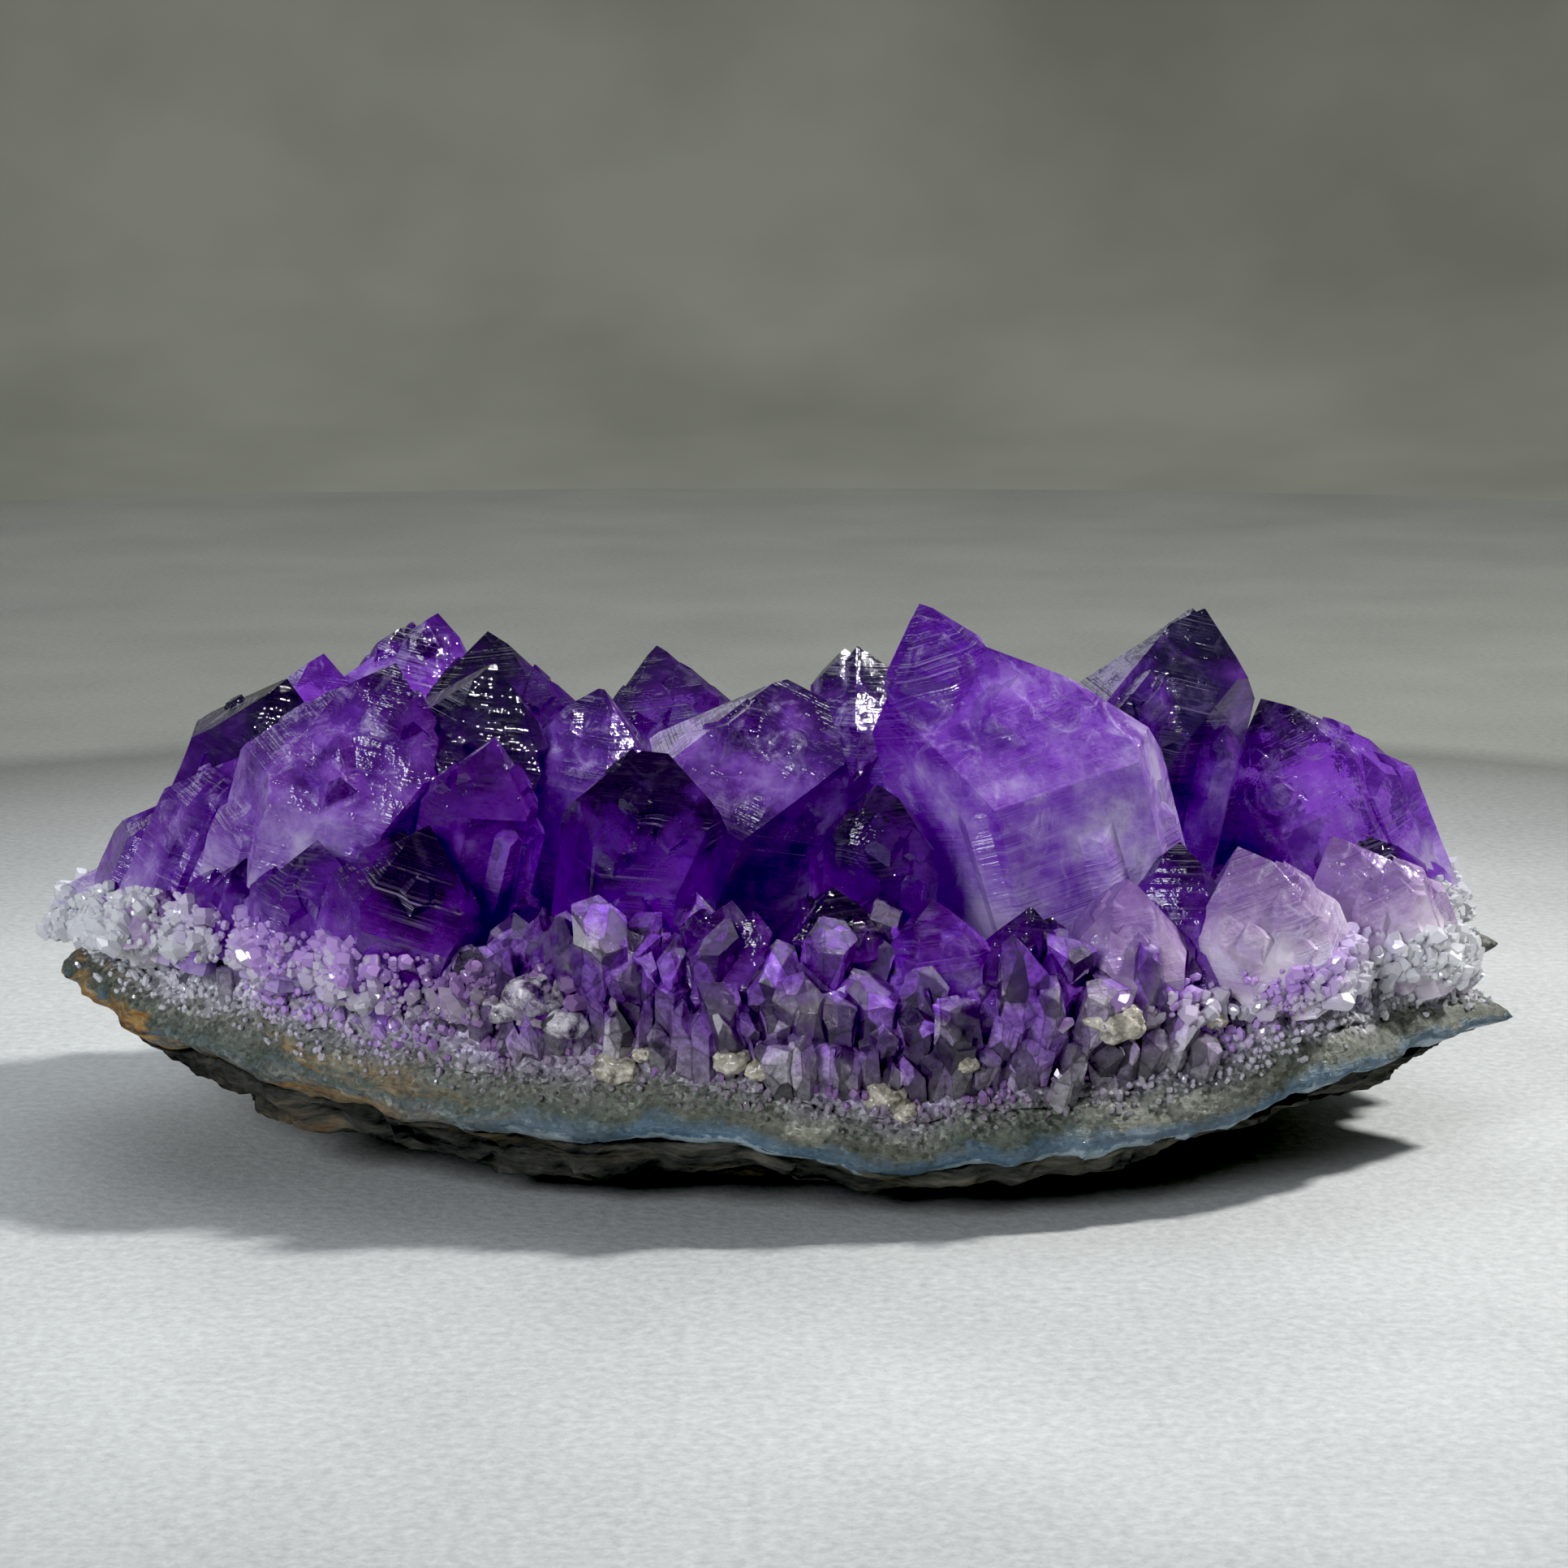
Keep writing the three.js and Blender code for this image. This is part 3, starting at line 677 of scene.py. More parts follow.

# %% [markdown]
# ## Agate and rock
# The bands of the section follow the geode's wall, up and down with its rim. So they aren't painted by
# height, but by the level that was written on each vertex: 0 at the agate's lip, 1 at the top of the bed.
# Noise sways the bands, cells make the sugar's grains, with painted glints on the brightest of them, and
# the rust is drawn out along the beds, as water left it.

# %% Section of the geode wall
def section_material(name, purple):
    """Agate below, then grey-green chalcedony, then speckled quartz with painted glints that turns lilac;
    iron at one end.
    """
    mat, shader, node, link = new_material(name)
    place = node("TexCoord").outputs["Object"]
    level = node("Attribute", attribute_name="level").outputs["Fac"]
    apart = node("SeparateXYZ", {0: place})
    x = apart.outputs["X"]
    bed = node("Math", {0: level, 1: 0.035}, operation="MULTIPLY").outputs[0]
    strata = node("CombineXYZ", {0: x, 1: apart.outputs["Y"], 2: bed}).outputs[0]
    warp = node("TexNoise", {"Vector": place, "Scale": 170.0, "Detail": 6.0, "Roughness": 0.7}).outputs["Fac"]
    sway = node("Math", {0: warp, 1: 0.7, 2: -0.35}, operation="MULTIPLY_ADD").outputs[0]
    height = node("Math", {0: level, 1: sway}, operation="ADD").outputs[0]
    wall = ramp(node, height, [
        (0.00, (0.32, 0.40, 0.46)),
        (0.04, (0.09, 0.155, 0.22)),
        (0.17, (0.068, 0.115, 0.155)),
        (0.27, (0.080, 0.095, 0.075)),
        (0.50, (0.155, 0.165, 0.145)),
        (0.66, (0.25, 0.24, 0.27)),
        (0.82, purple),
        (1.00, tuple(1.25 * c for c in purple)),
    ])
    grain = node("TexVoronoi", {"Vector": place, "Scale": 3200.0}).outputs["Color"]
    grain = node("SeparateColor", {0: grain}).outputs[0]
    blotch = node("TexNoise", {"Vector": place, "Scale": 700.0, "Detail": 4.0,
                               "Roughness": 0.7}).outputs["Fac"]
    pepper = node("Math", {0: blotch, 1: 0.9, 2: grain}, operation="MULTIPLY_ADD").outputs[0]
    # Pale and dark grains of the sugary quartz; the brightest grains are lifted far above their colour as
    # painted glints.
    grains_and_glints = ramp(node, node("Math", {0: pepper, 1: 0.6}, operation="MULTIPLY").outputs[0],
                [(0.2, grey(0.25)), (0.5, grey(0.85)), (0.75, grey(1.1)), (0.88, grey(2.1))])
    sugary = node("MapRange", {0: height, 1: 0.12, 2: 0.5, 3: 0.25, 4: 1.0}).outputs[0]
    speckled_with_glints = mixed(node, sugary, wall, grains_and_glints, "MULTIPLY")
    aside = node("Math", {0: x}, operation="ABSOLUTE").outputs[0]
    ends = node("MapRange", {0: aside, 1: 0.034, 2: 0.047}).outputs[0]
    high = node("MapRange", {0: height, 1: 0.50, 2: 0.72}).outputs[0]
    crust = node("Math", {0: ends, 1: high}, operation="MULTIPLY").outputs[0]
    speckled_with_glints = mixed(node, crust, speckled_with_glints, mixed(node, 1.0, (0.50, 0.51, 0.56, 1), grains_and_glints, "MULTIPLY"))
    inner = node("MapRange", {0: x, 1: -0.030, 2: -0.012, 3: 0.25, 4: 1.0}).outputs[0]
    lip = node("MapRange", {0: height, 1: 0.25, 2: 0.17}).outputs[0]
    plain = node("Math", {0: inner, 1: -1.0, 2: 1.0}, operation="MULTIPLY_ADD").outputs[0]
    tip = node("MapRange", {0: x, 1: -0.052, 2: -0.046}).outputs[0]
    plain = node("Math", {0: node("Math", {0: plain, 1: lip}, operation="MULTIPLY").outputs[0], 1: tip},
                 operation="MULTIPLY").outputs[0]
    speckled_with_glints = mixed(node, plain, speckled_with_glints, mixed(node, 1.0, (0.13, 0.125, 0.09, 1), grains_and_glints, "MULTIPLY"))
    stain_cloud = node("TexNoise", {"Vector": strata, "Scale": 80.0, "Detail": 8.0, "Roughness": 0.7,
                                    "Distortion": 0.6})
    stain = node("MapRange", {0: stain_cloud.outputs["Fac"], 1: 0.47, 2: 0.56}).outputs[0]
    left = node("MapRange", {0: x, 1: -0.018, 2: -0.042, 3: 0.06}).outputs[0]
    low = node("MapRange", {0: height, 1: 0.62, 2: 0.38}).outputs[0]
    stain = node("Math", {0: stain, 1: left}, operation="MULTIPLY").outputs[0]
    stain = node("Math", {0: stain, 1: low}, operation="MULTIPLY").outputs[0]
    line = node("TexNoise", {"Vector": strata, "Scale": 260.0, "Detail": 6.0,
                             "Roughness": 0.7}).outputs["Fac"]
    ochre = ramp(node, line, [(0.38, (0.055, 0.035, 0.02)), (0.47, (0.28, 0.15, 0.045)),
                              (0.56, (0.36, 0.24, 0.09)), (0.66, (0.42, 0.37, 0.24))])
    link(mixed(node, stain, speckled_with_glints, ochre), "Base Color")
    gloss = node("MapRange", {0: grain, 1: 0.75, 2: 1.0, 3: 0.42, 4: 0.10}).outputs[0]
    link(gloss, "Roughness")
    tilt = node("MapRange", {0: height, 1: 0.10, 2: 0.5, 3: 0.3, 4: 0.95}).outputs[0]
    rough = node("TexNoise", {"Vector": strata, "Scale": 500.0, "Detail": 6.0,
                              "Roughness": 0.7}).outputs["Fac"]
    link(node("Bump", {"Height": rough, "Strength": 0.5, "Distance": 0.0006,
                       "Normal": grain_normal(node, place, 2600.0, tilt)}).outputs["Normal"], "Normal")
    return mat


section = section_material("geode_section", (0.34, 0.30, 0.42))

# %% Basalt
basalt, shader, node, link = new_material("basalt")
place = node("TexCoord").outputs["Object"]
apart = node("SeparateXYZ", {0: place})
x = apart.outputs["X"]
level = node("Attribute", attribute_name="level").outputs["Fac"]
bed = node("Math", {0: level, 1: 0.035}, operation="MULTIPLY").outputs[0]
beds = node("CombineXYZ", {0: x, 1: apart.outputs["Y"], 2: bed}).outputs[0]
streaks = node("TexNoise", {"Vector": beds, "Scale": 120.0, "Detail": 8.0, "Roughness": 0.72}).outputs["Fac"]
rock = ramp(node, streaks, [
    (0.36, (0.010, 0.010, 0.010)),
    (0.45, (0.055, 0.055, 0.050)),
    (0.54, (0.12, 0.12, 0.10)),
    (0.66, (0.30, 0.27, 0.21)),
])
rust = node("TexNoise", {"Vector": beds, "Scale": 60.0, "Detail": 8.0, "Roughness": 0.75}).outputs["Fac"]
rust = node("MapRange", {0: rust, 1: 0.50, 2: 0.60}).outputs[0]
left = node("MapRange", {0: x, 1: 0.0, 2: -0.035, 3: 0.15, 4: 0.9}).outputs[0]
rust = node("Math", {0: rust, 1: left}, operation="MULTIPLY").outputs[0]
line = node("TexNoise", {"Vector": beds, "Scale": 260.0, "Detail": 6.0, "Roughness": 0.7}).outputs["Fac"]
ochre = ramp(node, line, [(0.38, (0.03, 0.022, 0.015)), (0.48, (0.20, 0.11, 0.035)),
                          (0.62, (0.32, 0.25, 0.14))])
link(mixed(node, rust, rock, ochre), "Base Color")
link(ramp(node, streaks, [(0.3, grey(0.95)), (0.7, grey(0.55))]), "Roughness")
fine = node("TexNoise", {"Vector": beds, "Scale": 500.0, "Detail": 9.0, "Roughness": 0.78}).outputs["Fac"]
link(node("Bump", {"Height": fine, "Strength": 1.0, "Distance": 0.0009}).outputs["Normal"], "Normal")

# %% Make the slab
VOXEL = 0.55 * MM
SKINS = {}
for name, slot, mat in (("host_rock", "host_rock", basalt), ("agate_layer", "agate", section),
                        ("quartz_bed", "milky_quartz", section)):
    SKINS[name] = finished(shaped(name, VOXEL), name + "_skin", mat, (name,), smooth=True)
    print(SKINS[name].name, len(SKINS[name].data.polygons), "faces")


def tree_of(*objects):
    whole = bmesh.new()
    for obj in objects:
        whole.from_mesh(obj.data)
    tree = BVHTree.FromBMesh(whole)
    whole.free()
    return tree


BED_SKIN = tree_of(SKINS["quartz_bed"])
BIG_TREE = tree_of(*CRYSTALS.values())


def inside_big(place, margin=0.1 * MM):
    near, normal, _, distance = BIG_TREE.find_nearest(place)
    return distance > margin and (place - near).dot(normal) < 0


ABOVE_ALL = 60 * MM


def on_bed(x, y):
    """Where a plumb line meets the top of the bed, or None."""
    return BED_SKIN.ray_cast(Vector((x, y, ABOVE_ALL)), Vector((0, 0, -1)))[0]


# %% [markdown]
# ## The broken edge
# Where the slab was prised from its geode the outer points snapped, and their roots stand along the rim as a
# wall of stumps: six-sided columns packed side by side, each broken off by slanting cracks. They are made one
# by one, then joined into one skin, so that they run into each other as grown quartz does. Rebuilding the
# skin from small even faces would be simpler, but it melts the breaks, and a Boolean union keeps them sharp.

# %% A stump
def stump(radius, height, rng):
    """A six-sided column, its root at the origin, broken off by slanting planes that look mostly along X."""
    bm = bmesh.new()
    bmesh.ops.create_cone(bm, cap_ends=True, segments=6, radius1=0.85 * radius, radius2=radius,
                          depth=height + 3 * MM, matrix=Matrix.Translation((0, 0, (height - 3 * MM) / 2)))
    for _ in range(4):
        turn, tilt = rng.gauss(0, 1.1), rng.uniform(0.15, 1.15)
        direction = Vector((math.sin(tilt) * math.cos(turn), math.sin(tilt) * math.sin(turn), math.cos(tilt)))
        slice_off(bm, Vector((0, 0, height * rng.uniform(0.62, 0.98))), direction)
    return bm


def edge_height(spot):
    """How tall the stumps stand at a place on the rim: tall in mid-front, low at both ends."""
    x, y = spot.x / MM, spot.y / MM
    front = smoothstep(-18, -27, y) * smoothstep(-33, -17, x) * smoothstep(44, 26, x)
    back = 0.45 * smoothstep(18, 27, y) * smoothstep(-46, -20, x) * smoothstep(46, 20, x)
    left = 3.4 * smoothstep(-50, -42, x) * smoothstep(-14, -24, x) * smoothstep(-8, -16, y)
    right = 2.0 * smoothstep(34, 42, x) * smoothstep(58, 50, x)
    return (1.4 + max(9.0 * front, left, right) + 6.0 * back) * MM


# %% Make the broken edge
EDGE_ROWS = {0.915: 0.45, 0.865: 0.8, 0.81: 1.0, 0.75: 1.0}  # share of the way to the rim: of the height
EDGE_STEP = 1.9 * MM


def stumps_between(start, end, rng):
    """All the stumps between two angles, as separate bodies."""
    stumps = []
    for share, part in EDGE_ROWS.items():
        angle = start
        while angle < end:
            reach = around(AGATE_WALL, 1, math.remainder(angle, 2 * math.pi))
            out = Vector((math.cos(angle), math.sin(angle), 0))
            angle += EDGE_STEP * rng.uniform(0.7, 1.2) / reach
            spot = CENTRE + out * reach * (share + rng.uniform(-0.02, 0.02))
            ground = on_bed(spot.x, spot.y)
            if ground is None:
                continue
            height = edge_height(spot) * part * rng.uniform(0.65, 1.2)
            lean = 0.28 * out + 0.16 * Vector([rng.gauss(0, 1) for _ in range(3)])
            direction = (Vector((0, 0, 1)) + lean).normalized()
            side = direction.cross(out).normalized()
            turn = Matrix((side.cross(direction), side, direction)).transposed().to_4x4()
            made = stump(rng.uniform(0.55, 0.95) * MM + 0.13 * height, height, rng)
            bmesh.ops.transform(made, matrix=Matrix.Translation(ground) @ turn, verts=made.verts)
            stumps.append(made)
    return stumps


def grown_together(bodies, group=8):
    """Many bodies as one skin, joined a few neighbours at a time, labelled with the height above the bed."""
    while len(bodies) > 1:
        bodies = [united(bodies[at], bodies[at + 1:at + group]) for at in range(0, len(bodies), group)]
    rises = []
    for v in bodies[0].verts:
        ground = on_bed(v.co.x, v.co.y)
        rises.append((v.co.z - ground.z) / MM if ground else 0.0)
    return labelled(bodies[0], rise=rises)


broken, shader, node, link = new_material("broken_quartz")
place = node("TexCoord").outputs["Object"]
rise = node("Attribute", attribute_name="rise").outputs["Fac"]
cloud = node("TexNoise", {"Vector": place, "Scale": 200.0, "Detail": 5.0, "Roughness": 0.65}).outputs["Fac"]
column = node("Mapping", {"Vector": place, "Scale": (1, 1, 0.45)}).outputs[0]
cells = node("TexVoronoi", {"Vector": column, "Scale": 620.0}).outputs["Color"]
facet = node("SeparateColor", {0: cells}).outputs[0]
height = node("Math", {0: cloud, 1: 6.0, 2: -3.0}, operation="MULTIPLY_ADD").outputs[0]
height = node("Math", {0: height, 1: rise}, operation="ADD").outputs[0]
tint = ramp(node, node("MapRange", {0: height, 1: -1.0, 2: 8.0}).outputs[0], [
    (0.0, (0.34, 0.32, 0.36)),
    (0.2, (0.38, 0.30, 0.48)),
    (0.5, (0.30, 0.16, 0.52)),
    (1.0, (0.22, 0.055, 0.54)),
])
x = node("SeparateXYZ", {0: place}).outputs["X"]
left = node("MapRange", {0: x, 1: -0.020, 2: -0.030}).outputs[0]
right = node("MapRange", {0: x, 1: 0.036, 2: 0.044}).outputs[0]
sides = node("Math", {0: left, 1: right}, operation="ADD").outputs[0]
tint = mixed(node, sides, tint, ramp(node, cloud, [(0.4, (0.50, 0.38, 0.68)), (0.6, (0.64, 0.60, 0.72))]))
aside = node("Math", {0: x}, operation="ABSOLUTE").outputs[0]
ends = node("MapRange", {0: aside, 1: 0.042, 2: 0.050}).outputs[0]
tint = mixed(node, ends, tint, (0.66, 0.68, 0.74, 1))
# Each cell of the broken surface gets its own brightness, from 0.35 to 1.7 times its colour: painted light
# and shade on the facets.
facet_light_and_shade = ramp(node, facet, [(0.0, grey(0.35)), (0.5, grey(0.85)), (0.9, grey(1.25)), (1.0, grey(1.7))])
edges = node("TexVoronoi", {"Vector": column, "Scale": 620.0}, feature="DISTANCE_TO_EDGE")
cracks = ramp(node, edges.outputs["Distance"], [(0.0, grey(0.45)), (0.05, grey(1.0))])
blotch = node("TexNoise", {"Vector": place, "Scale": 1400.0, "Detail": 5.0, "Roughness": 0.75}).outputs["Fac"]
flecks = ramp(node, blotch, [(0.38, grey(0.55)), (0.52, grey(1.0)), (0.66, grey(1.5))])
tint = mixed(node, 1.0, mixed(node, 1.0, tint, facet_light_and_shade, "MULTIPLY"), flecks, "MULTIPLY")
link(mixed(node, 1.0, tint, cracks, "MULTIPLY"), "Base Color")
link(ramp(node, facet, [(0.0, grey(0.75)), (1.0, grey(0.3))]), "Transmission Weight")
link(ramp(node, facet, [(0.0, grey(0.30)), (0.7, grey(0.16)), (1.0, grey(0.05))]), "Roughness")
shader.inputs["IOR"].default_value = QUARTZ_IOR
shader.inputs["Coat Weight"].default_value = 0.4
link(node("Bump", {"Height": blotch, "Strength": 0.6, "Distance": 0.0004,
                   "Normal": grain_normal(node, place, 700.0, 0.5)}).outputs["Normal"], "Normal")
rng = random.Random(33)
BROKEN_EDGE = []
for side, start in (("front", -math.pi), ("back", 0)):
    edge = grown_together(stumps_between(start, start + math.pi, rng))
    BROKEN_EDGE.append(finished(edge, f"broken_edge_{side}", broken))
    print(BROKEN_EDGE[-1].name, len(BROKEN_EDGE[-1].data.polygons), "faces")

# %% [markdown]
# ## Druse
# Between the big points and the broken edge the quartz never grew large. It is a crust of thousands of tiny
# points, which sparkles. Particles or geometry nodes could strew them, but here it matters where each stands
# and how its colour follows the bed. So a few small points are made once, and copied to places drawn on the
# slab's skins, wherever no big point stands: larger in the valleys, sugar-fine towards the agate.

# %% Small points to copy
def small_points(rng, ratios, uneven=0.3):
    """Points one millimetre in radius, each with how far from root to tip each vertex lies."""
    made = []
    for ratio in ratios:
        bm = quartz_point(MM, ratio * MM, rng, 0.1, uneven)
        low = min(v.co.z for v in bm.verts)
        high = max(v.co.z for v in bm.verts)
        mesh = bpy.data.meshes.new("small_point")
        bmesh.ops.translate(bm, verts=bm.verts, vec=(0, 0, -low))
        along = [v.co.z / (high - low) for v in bm.verts]
        bm.to_mesh(mesh)
        bm.free()
        made.append((mesh, along))
    return made


SMALL = small_points(random.Random(7), [1.6, 2.0, 2.4, 2.8, 3.4, 4.2, 5.5, 7.0])
CHUNK = 120


def strewn(places):
    """One bmesh of small points, from (which, matrix, level, shade) rows."""
    whole = bmesh.new()
    for start in range(0, len(places), CHUNK):
        part = bmesh.new()
        keys = ("along", "level", "shade", "frost", "rise")
        layers = {key: part.verts.layers.float.new(key) for key in keys}
        for which, matrix, level, shade in places[start:start + CHUNK]:
            mesh, along = SMALL[which]
            first = len(part.verts)
            part.from_mesh(mesh)
            part.verts.ensure_lookup_table()
            fresh = part.verts[first:]
            bmesh.ops.transform(part, matrix=matrix, verts=fresh)
            for v, share in zip(fresh, along):
                v[layers["along"]], v[layers["level"]], v[layers["shade"]] = share, level, shade
                v[layers["rise"]], v[layers["frost"]] = 8 * share + 20 * shade, 0.2 + 0.4 * shade
        mesh = bpy.data.meshes.new("part")
        part.to_mesh(mesh)
        part.free()
        whole.from_mesh(mesh)
        bpy.data.meshes.remove(mesh)
    return whole


def stood(place, direction, turn, width, sink):
    """Matrix of a small point with its root a little under the place, growing in a direction."""
    upright = direction.to_track_quat("Z", "Y").to_matrix().to_4x4()
    return (Matrix.Translation(place - direction * sink) @ upright @ Matrix.Rotation(turn, 4, "Z")
            @ Matrix.Diagonal((width, width, width, 1)))


# %% Young points between the big ones
HALF_LENGTH, HALF_DEPTH = 60 * MM, 36 * MM  # of the ground that is searched


def standing_rows(rng, step, chance, wanted, width_of, ratios):
    """Rows for strewn on a jittered grid over the bed, leaning outwards, where no big point stands."""
    rows = []
    steps = int(2 * HALF_LENGTH / step)
    for i in range(steps):
        for j in range(steps):
            x = -HALF_LENGTH + (i + rng.random()) * step
            y = -HALF_LENGTH + (j + rng.random()) * step
            pick = rng.random()
            ground = on_bed(x, y) if pick < chance and abs(y) < HALF_DEPTH else None
            if ground is None:
                continue
            angle, share, level = slab_place(ground)
            if not wanted(share) or inside_big(ground + Vector((0, 0, 0.5 * MM))):
                continue
            out = Vector((math.cos(angle), math.sin(angle), 0))
            lean = 0.14 * Vector([rng.gauss(0, 1) for _ in range(3)])
            direction = (Vector((0, 0, 1)) + (0.12 + 0.5 * share ** 3) * out + lean).normalized()
            which = rng.choice(ratios)
            matrix = stood(ground, direction, rng.uniform(0, 2), width_of(rng), 0.8 * MM)
            rows.append((which, matrix, level, rng.random()))
    return rows


# %% Druse on the slab
def druse_places(skin, rng, wanted, chance, width_of):
    """Rows for strewn: faces of a skin drawn by chance, where wanted says so and no big point stands."""
    rows = []
    mesh = skin.data
    levels = np.zeros(len(mesh.vertices), dtype=np.float32)
    mesh.attributes["level"].data.foreach_get("value", levels)
    for face in mesh.polygons:
        if rng.random() > chance or face.normal.z < -0.25:
            continue
        level = float(levels[face.vertices[0]])
        share = slab_place(face.center)[1]
        if not wanted(level, share) or inside_big(face.center):
            continue
        width = width_of(rng, level, share)
        lean = Vector([rng.gauss(0, 1) for _ in range(3)]) * 0.28
        direction = (face.normal * 0.75 + Vector((0, 0, 0.35)) + lean).normalized()
        which = rng.randrange(0, 5)
        matrix = stood(face.center, direction, rng.uniform(0, 2), width, 0.35 * width * MM)
        rows.append((which, matrix, level, rng.random()))
    return rows


TALL_EDGE = 5.6 * MM  # stumps taller than this stand bare
RIM_CHANCE, LIP_CHANCE, VALLEY_CHANCE = 0.34, 0.22, 0.20  # share of a skin's faces that carry a tiny point


def sugar_width(rng, level, share):
    fine = smoothstep(0.5, 1.0, level)
    return rng.uniform(0.12, 0.26) + 0.25 * fine * rng.random() ** 2 + 0.08 * fine


def valley_width(rng, level, share):
    return rng.uniform(0.30, 0.65) + 0.6 * rng.random() ** 4


rng = random.Random(21)
RIM_SUGAR = druse_places(SKINS["quartz_bed"], rng, lambda level, share: share > 0.78, RIM_CHANCE,
                         sugar_width)
RIM_SUGAR += druse_places(SKINS["agate_layer"], rng, lambda level, share: level > 0.42, LIP_CHANCE,
                          sugar_width)
VALLEYS = druse_places(SKINS["quartz_bed"], rng, lambda level, share: share < 0.9 and level > 0.2,
                       VALLEY_CHANCE, valley_width)
VALLEYS = [row for row in VALLEYS if edge_height(row[1].translation) < TALL_EDGE]
print("tiny points on the rim:", len(RIM_SUGAR), "and in the valleys:", len(VALLEYS))
# %% [markdown]
# ## Where the druse climbs
# At both ends the crust doesn't stop at the bed, but climbs the roots of the outermost points like frost. The
# places for it are where level rays, sent in from outside the rim, first meet anything.

# %% Druse on the roots of the big points
def skirt_height(spot):
    """How far up the roots the druse climbs at a place on the rim."""
    x, y = spot.x / MM, spot.y / MM
    left = 3.6 * smoothstep(-10, -26, x)
    right = 3.0 * smoothstep(30, 44, x)
    return (0.6 + max(left, right)) * MM


TOO_FAR = 22 * MM  # a ray that flies further has slipped between the points


def skirt_rows(rng, count):
    """Rows for strewn where level rays from outside meet the roots of the big points."""
    rows = []
    for _ in range(count):
        angle = rng.uniform(-math.pi, math.pi)
        out = Vector((math.cos(angle), math.sin(angle), 0))
        reach = around(AGATE_WALL, 1, angle)
        rim = CENTRE + out * reach
        if edge_height(rim) > TALL_EDGE:
            continue
        climb = skirt_height(rim) * rng.random() ** 1.4
        start = rim + out * 5 * MM
        start.z = around(BED_WALL, 3, angle) + climb
        aim = (-out + 0.4 * Vector([rng.gauss(0, 1) for _ in range(2)] + [0])).normalized()
        ground, normal = ALL_TREE.ray_cast(start, aim)[:2]
        if ground is None or (ground - rim).length > TOO_FAR:
            continue
        lean = 0.35 * Vector([rng.gauss(0, 1) for _ in range(3)])
        direction = (0.7 * normal + Vector((0, 0, 0.5)) + 0.2 * out + lean).normalized()
        width = rng.uniform(0.13, 0.30) + 0.5 * rng.random() ** 4
        which = rng.randrange(1, 5)
        matrix = stood(ground, direction, rng.uniform(0, 2), width, 0.6 * width * MM)
        level = 0.55 + 0.25 * climb / (4 * MM) + 0.2 * rng.random()
        rows.append((which, matrix, level, rng.random()))
    return rows


ALL_TREE = tree_of(*SKINS.values(), *BROKEN_EDGE, *CRYSTALS.values())
SKIRT_RAYS = 10500
SKIRT = skirt_rows(random.Random(91), SKIRT_RAYS)
print("tiny points on the roots:", len(SKIRT))

# %% Druse material
druse_mat, shader, node, link = new_material("druse_quartz")
place = node("TexCoord").outputs["Object"]
level = node("Attribute", attribute_name="level").outputs["Fac"]
shade = node("Attribute", attribute_name="shade").outputs["Fac"]
cloud = node("TexNoise", {"Vector": place, "Scale": 120.0, "Detail": 3.0}).outputs["Fac"]
height = node("Math", {0: cloud, 1: 0.5, 2: level}, operation="MULTIPLY_ADD").outputs[0]
tint = ramp(node, height, [
    (0.55, (0.26, 0.27, 0.26)),
    (0.80, (0.66, 0.64, 0.72)),
    (1.05, (0.74, 0.62, 0.88)),
    (1.30, (0.62, 0.40, 0.88)),
])
x = node("SeparateXYZ", {0: place}).outputs["X"]
aside = node("Math", {0: x}, operation="ABSOLUTE").outputs[0]
ends = node("MapRange", {0: aside, 1: 0.040, 2: 0.050}).outputs[0]
tint = mixed(node, ends, tint, (0.84, 0.85, 0.90, 1))
middle = node("MapRange", {0: aside, 1: 0.022, 2: 0.032}).outputs[0]
tint = mixed(node, 1.0, tint, ramp(node, middle, [(0.0, (0.52, 0.48, 0.50)), (1.0, grey(1.0))]), "MULTIPLY")
lift = ramp(node, shade, [(0.0, grey(0.8)), (0.8, grey(1.15)), (1.0, grey(1.4))])
link(mixed(node, 1.0, tint, lift, "MULTIPLY"), "Base Color")
link(ramp(node, shade, [(0.0, grey(0.12)), (1.0, grey(0.55))]), "Transmission Weight")
link(ramp(node, cloud, [(0.4, grey(0.05)), (0.7, grey(0.2))]), "Roughness")
shader.inputs["Coat Weight"].default_value = 0.4
shader.inputs["IOR"].default_value = QUARTZ_IOR

# %% Make the young points
rng = random.Random(55)
INNER_STEP, OUTER_STEP = 2.3 * MM, 2.6 * MM
YOUNG = standing_rows(rng, INNER_STEP, 0.9, lambda share: share < 0.80,
                      lambda rng: rng.uniform(0.8, 1.9), (3, 4, 5, 6))
YOUNG += standing_rows(rng, OUTER_STEP, 0.6, lambda share: 0.72 < share < 0.88,
                       lambda rng: rng.uniform(0.6, 1.3), (2, 3, 4))
for side, sign in (("front", -1), ("back", 1)):
    obj = finished(strewn([row for row in YOUNG if sign * row[1].translation.y >= 0]), f"young_points_{side}",
                   amethyst)
    print(obj.name, len(obj.data.polygons), "faces")

# %% Make the druse
for name, rows in (("rim", RIM_SUGAR), ("valley", VALLEYS), ("root", SKIRT)):
    front = [row for row in rows if row[1].translation.y < 0]
    back = [row for row in rows if row[1].translation.y >= 0]
    for side, chosen in (("front", front), ("back", back)):
        obj = finished(strewn(chosen), f"{name}_druse_{side}", druse_mat)
        print(obj.name, len(obj.data.polygons), "faces")

# %% [markdown]
# ## Lumps
# A few rounded beads of beige calcite and clear quartz sit on the broken edge, and a white sugary mound on
# the left end.

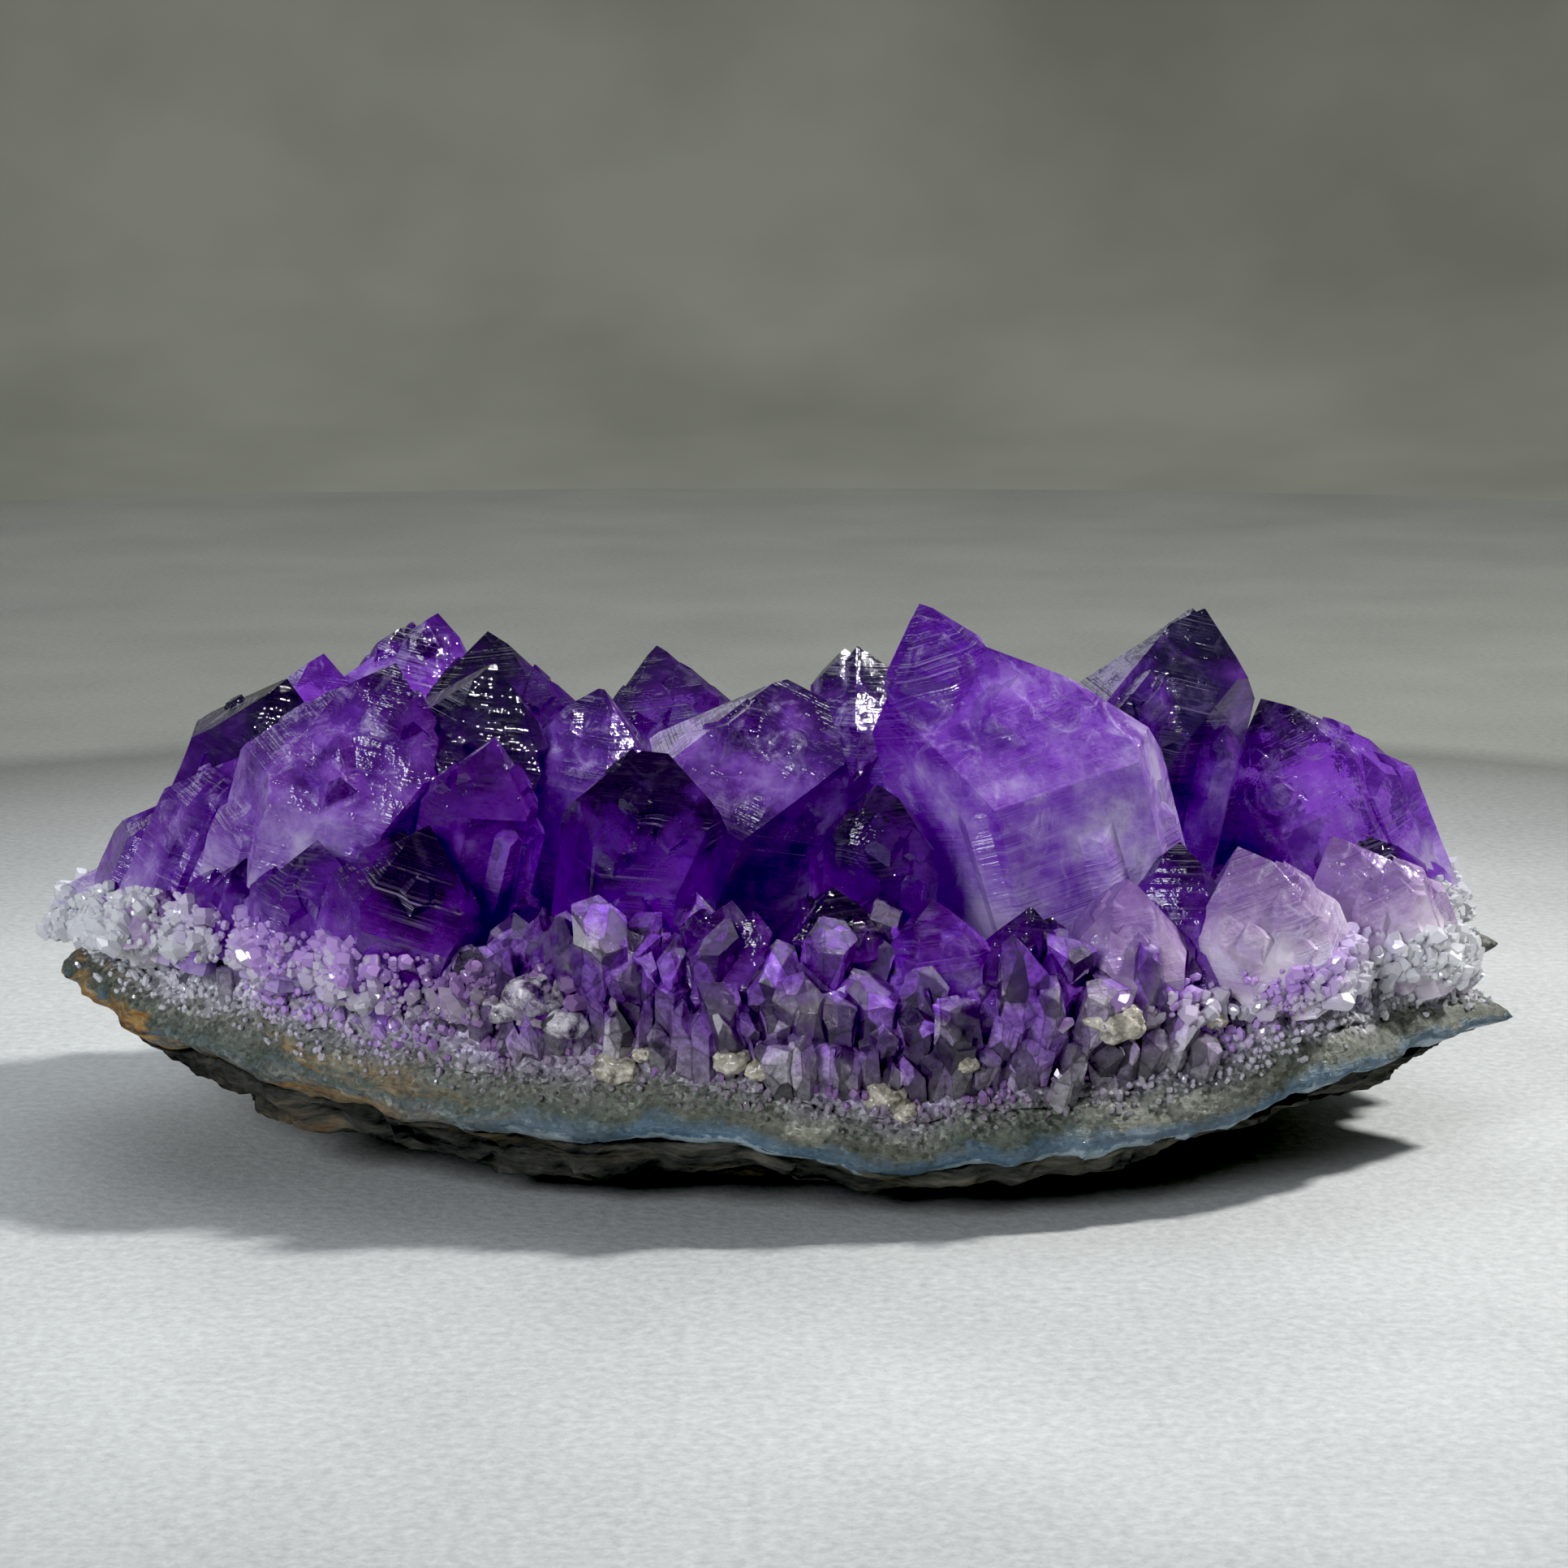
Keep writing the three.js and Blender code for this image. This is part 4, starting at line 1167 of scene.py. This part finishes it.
# %% A lump
def lump(radius, rng, knobs=1.0):
    """A squat knobbly bead."""
    bm = bmesh.new()
    bmesh.ops.create_icosphere(bm, subdivisions=4, radius=radius)
    shift = Vector([rng.uniform(-50, 50) for _ in range(3)])
    for v in bm.verts:
        p = v.co / radius
        swell = (1 + 0.30 * noise.noise(p * 1.3 + shift)
                 + knobs * (0.22 * noise.noise(p * 3.1 + shift) + 0.09 * noise.noise(p * 8 + shift)))
        v.co = Vector((v.co.x * 1.15, v.co.y, v.co.z * 0.8)) * swell
    return bm


def lump_material(name, colours, clarity, sugar):
    mat, shader, node, link = new_material(name)
    place = node("TexCoord").outputs["Object"]
    cloud = node("TexNoise", {"Vector": place, "Scale": 600.0, "Detail": 5.0,
                              "Roughness": 0.7}).outputs["Fac"]
    link(ramp(node, cloud, list(zip((0.35, 0.5, 0.65), colours))), "Base Color")
    link(ramp(node, cloud, [(0.4, grey(clarity)), (0.6, grey(0.3 * clarity))]), "Transmission Weight")
    link(ramp(node, cloud, [(0.4, grey(0.08)), (0.6, grey(0.35))]), "Roughness")
    link(grain_normal(node, place, 1900.0, sugar), "Normal")
    shader.inputs["IOR"].default_value = QUARTZ_IOR
    return mat


BEIGE = lump_material("beige_calcite",
                      [(0.20, 0.18, 0.14), (0.46, 0.43, 0.36), (0.66, 0.62, 0.54)], 0.25, 0.7)
CLEAR = lump_material("clear_quartz", [(0.66, 0.58, 0.74), (0.76, 0.72, 0.80), (0.86, 0.84, 0.88)], 1.0, 0.15)
WHITE = lump_material("white_quartz", [(0.66, 0.68, 0.72), (0.80, 0.82, 0.85), (0.93, 0.94, 0.96)], 0.2, 1.1)

# %% Make the lumps
LUMPS = {  # place across and up on the front of the slab, and radius, in mm
    "beige_lumps": (BEIGE, 1.0, [(-12.1, 12.0, 1.5), (-3.4, 13.0, 1.2), (-1.4, 12.4, 1.0), (7.9, 9.9, 1.5),
                                 (25.2, 15.2, 1.9), (-10.2, 13.0, 0.8), (9.5, 9.0, 1.0), (14.0, 12.5, 0.8),
                                 (33.0, 14.2, 0.9)]),
    "clear_lumps": (CLEAR, 0.12, [(-18.0, 17.0, 2.2), (-15.8, 15.2, 1.4), (-20.8, 15.8, 1.3)]),
    "white_mound": (WHITE, 0.35, [(-54.6, 16.2, 1.6), (-52.4, 16.6, 1.5), (-50.4, 16.0, 1.3)]),
}
rng = random.Random(77)
for name, (mat, knobs, rows) in LUMPS.items():
    whole = bmesh.new()
    for x, z, radius in rows:
        ground = ALL_TREE.ray_cast(Vector((x, -60, z)) * MM, Vector((0, 1, 0)))[0]
        if ground is None:
            continue
        made = lump(radius * MM, rng, knobs)
        bmesh.ops.translate(made, verts=made.verts, vec=ground + Vector((0, 0.35 * radius * MM, 0)))
        mesh = bpy.data.meshes.new("lump")
        made.to_mesh(mesh)
        made.free()
        whole.from_mesh(mesh)
        bpy.data.meshes.remove(mesh)
    obj = finished(whole, name, mat, smooth=True)
    print(obj.name, len(rows), "lumps")
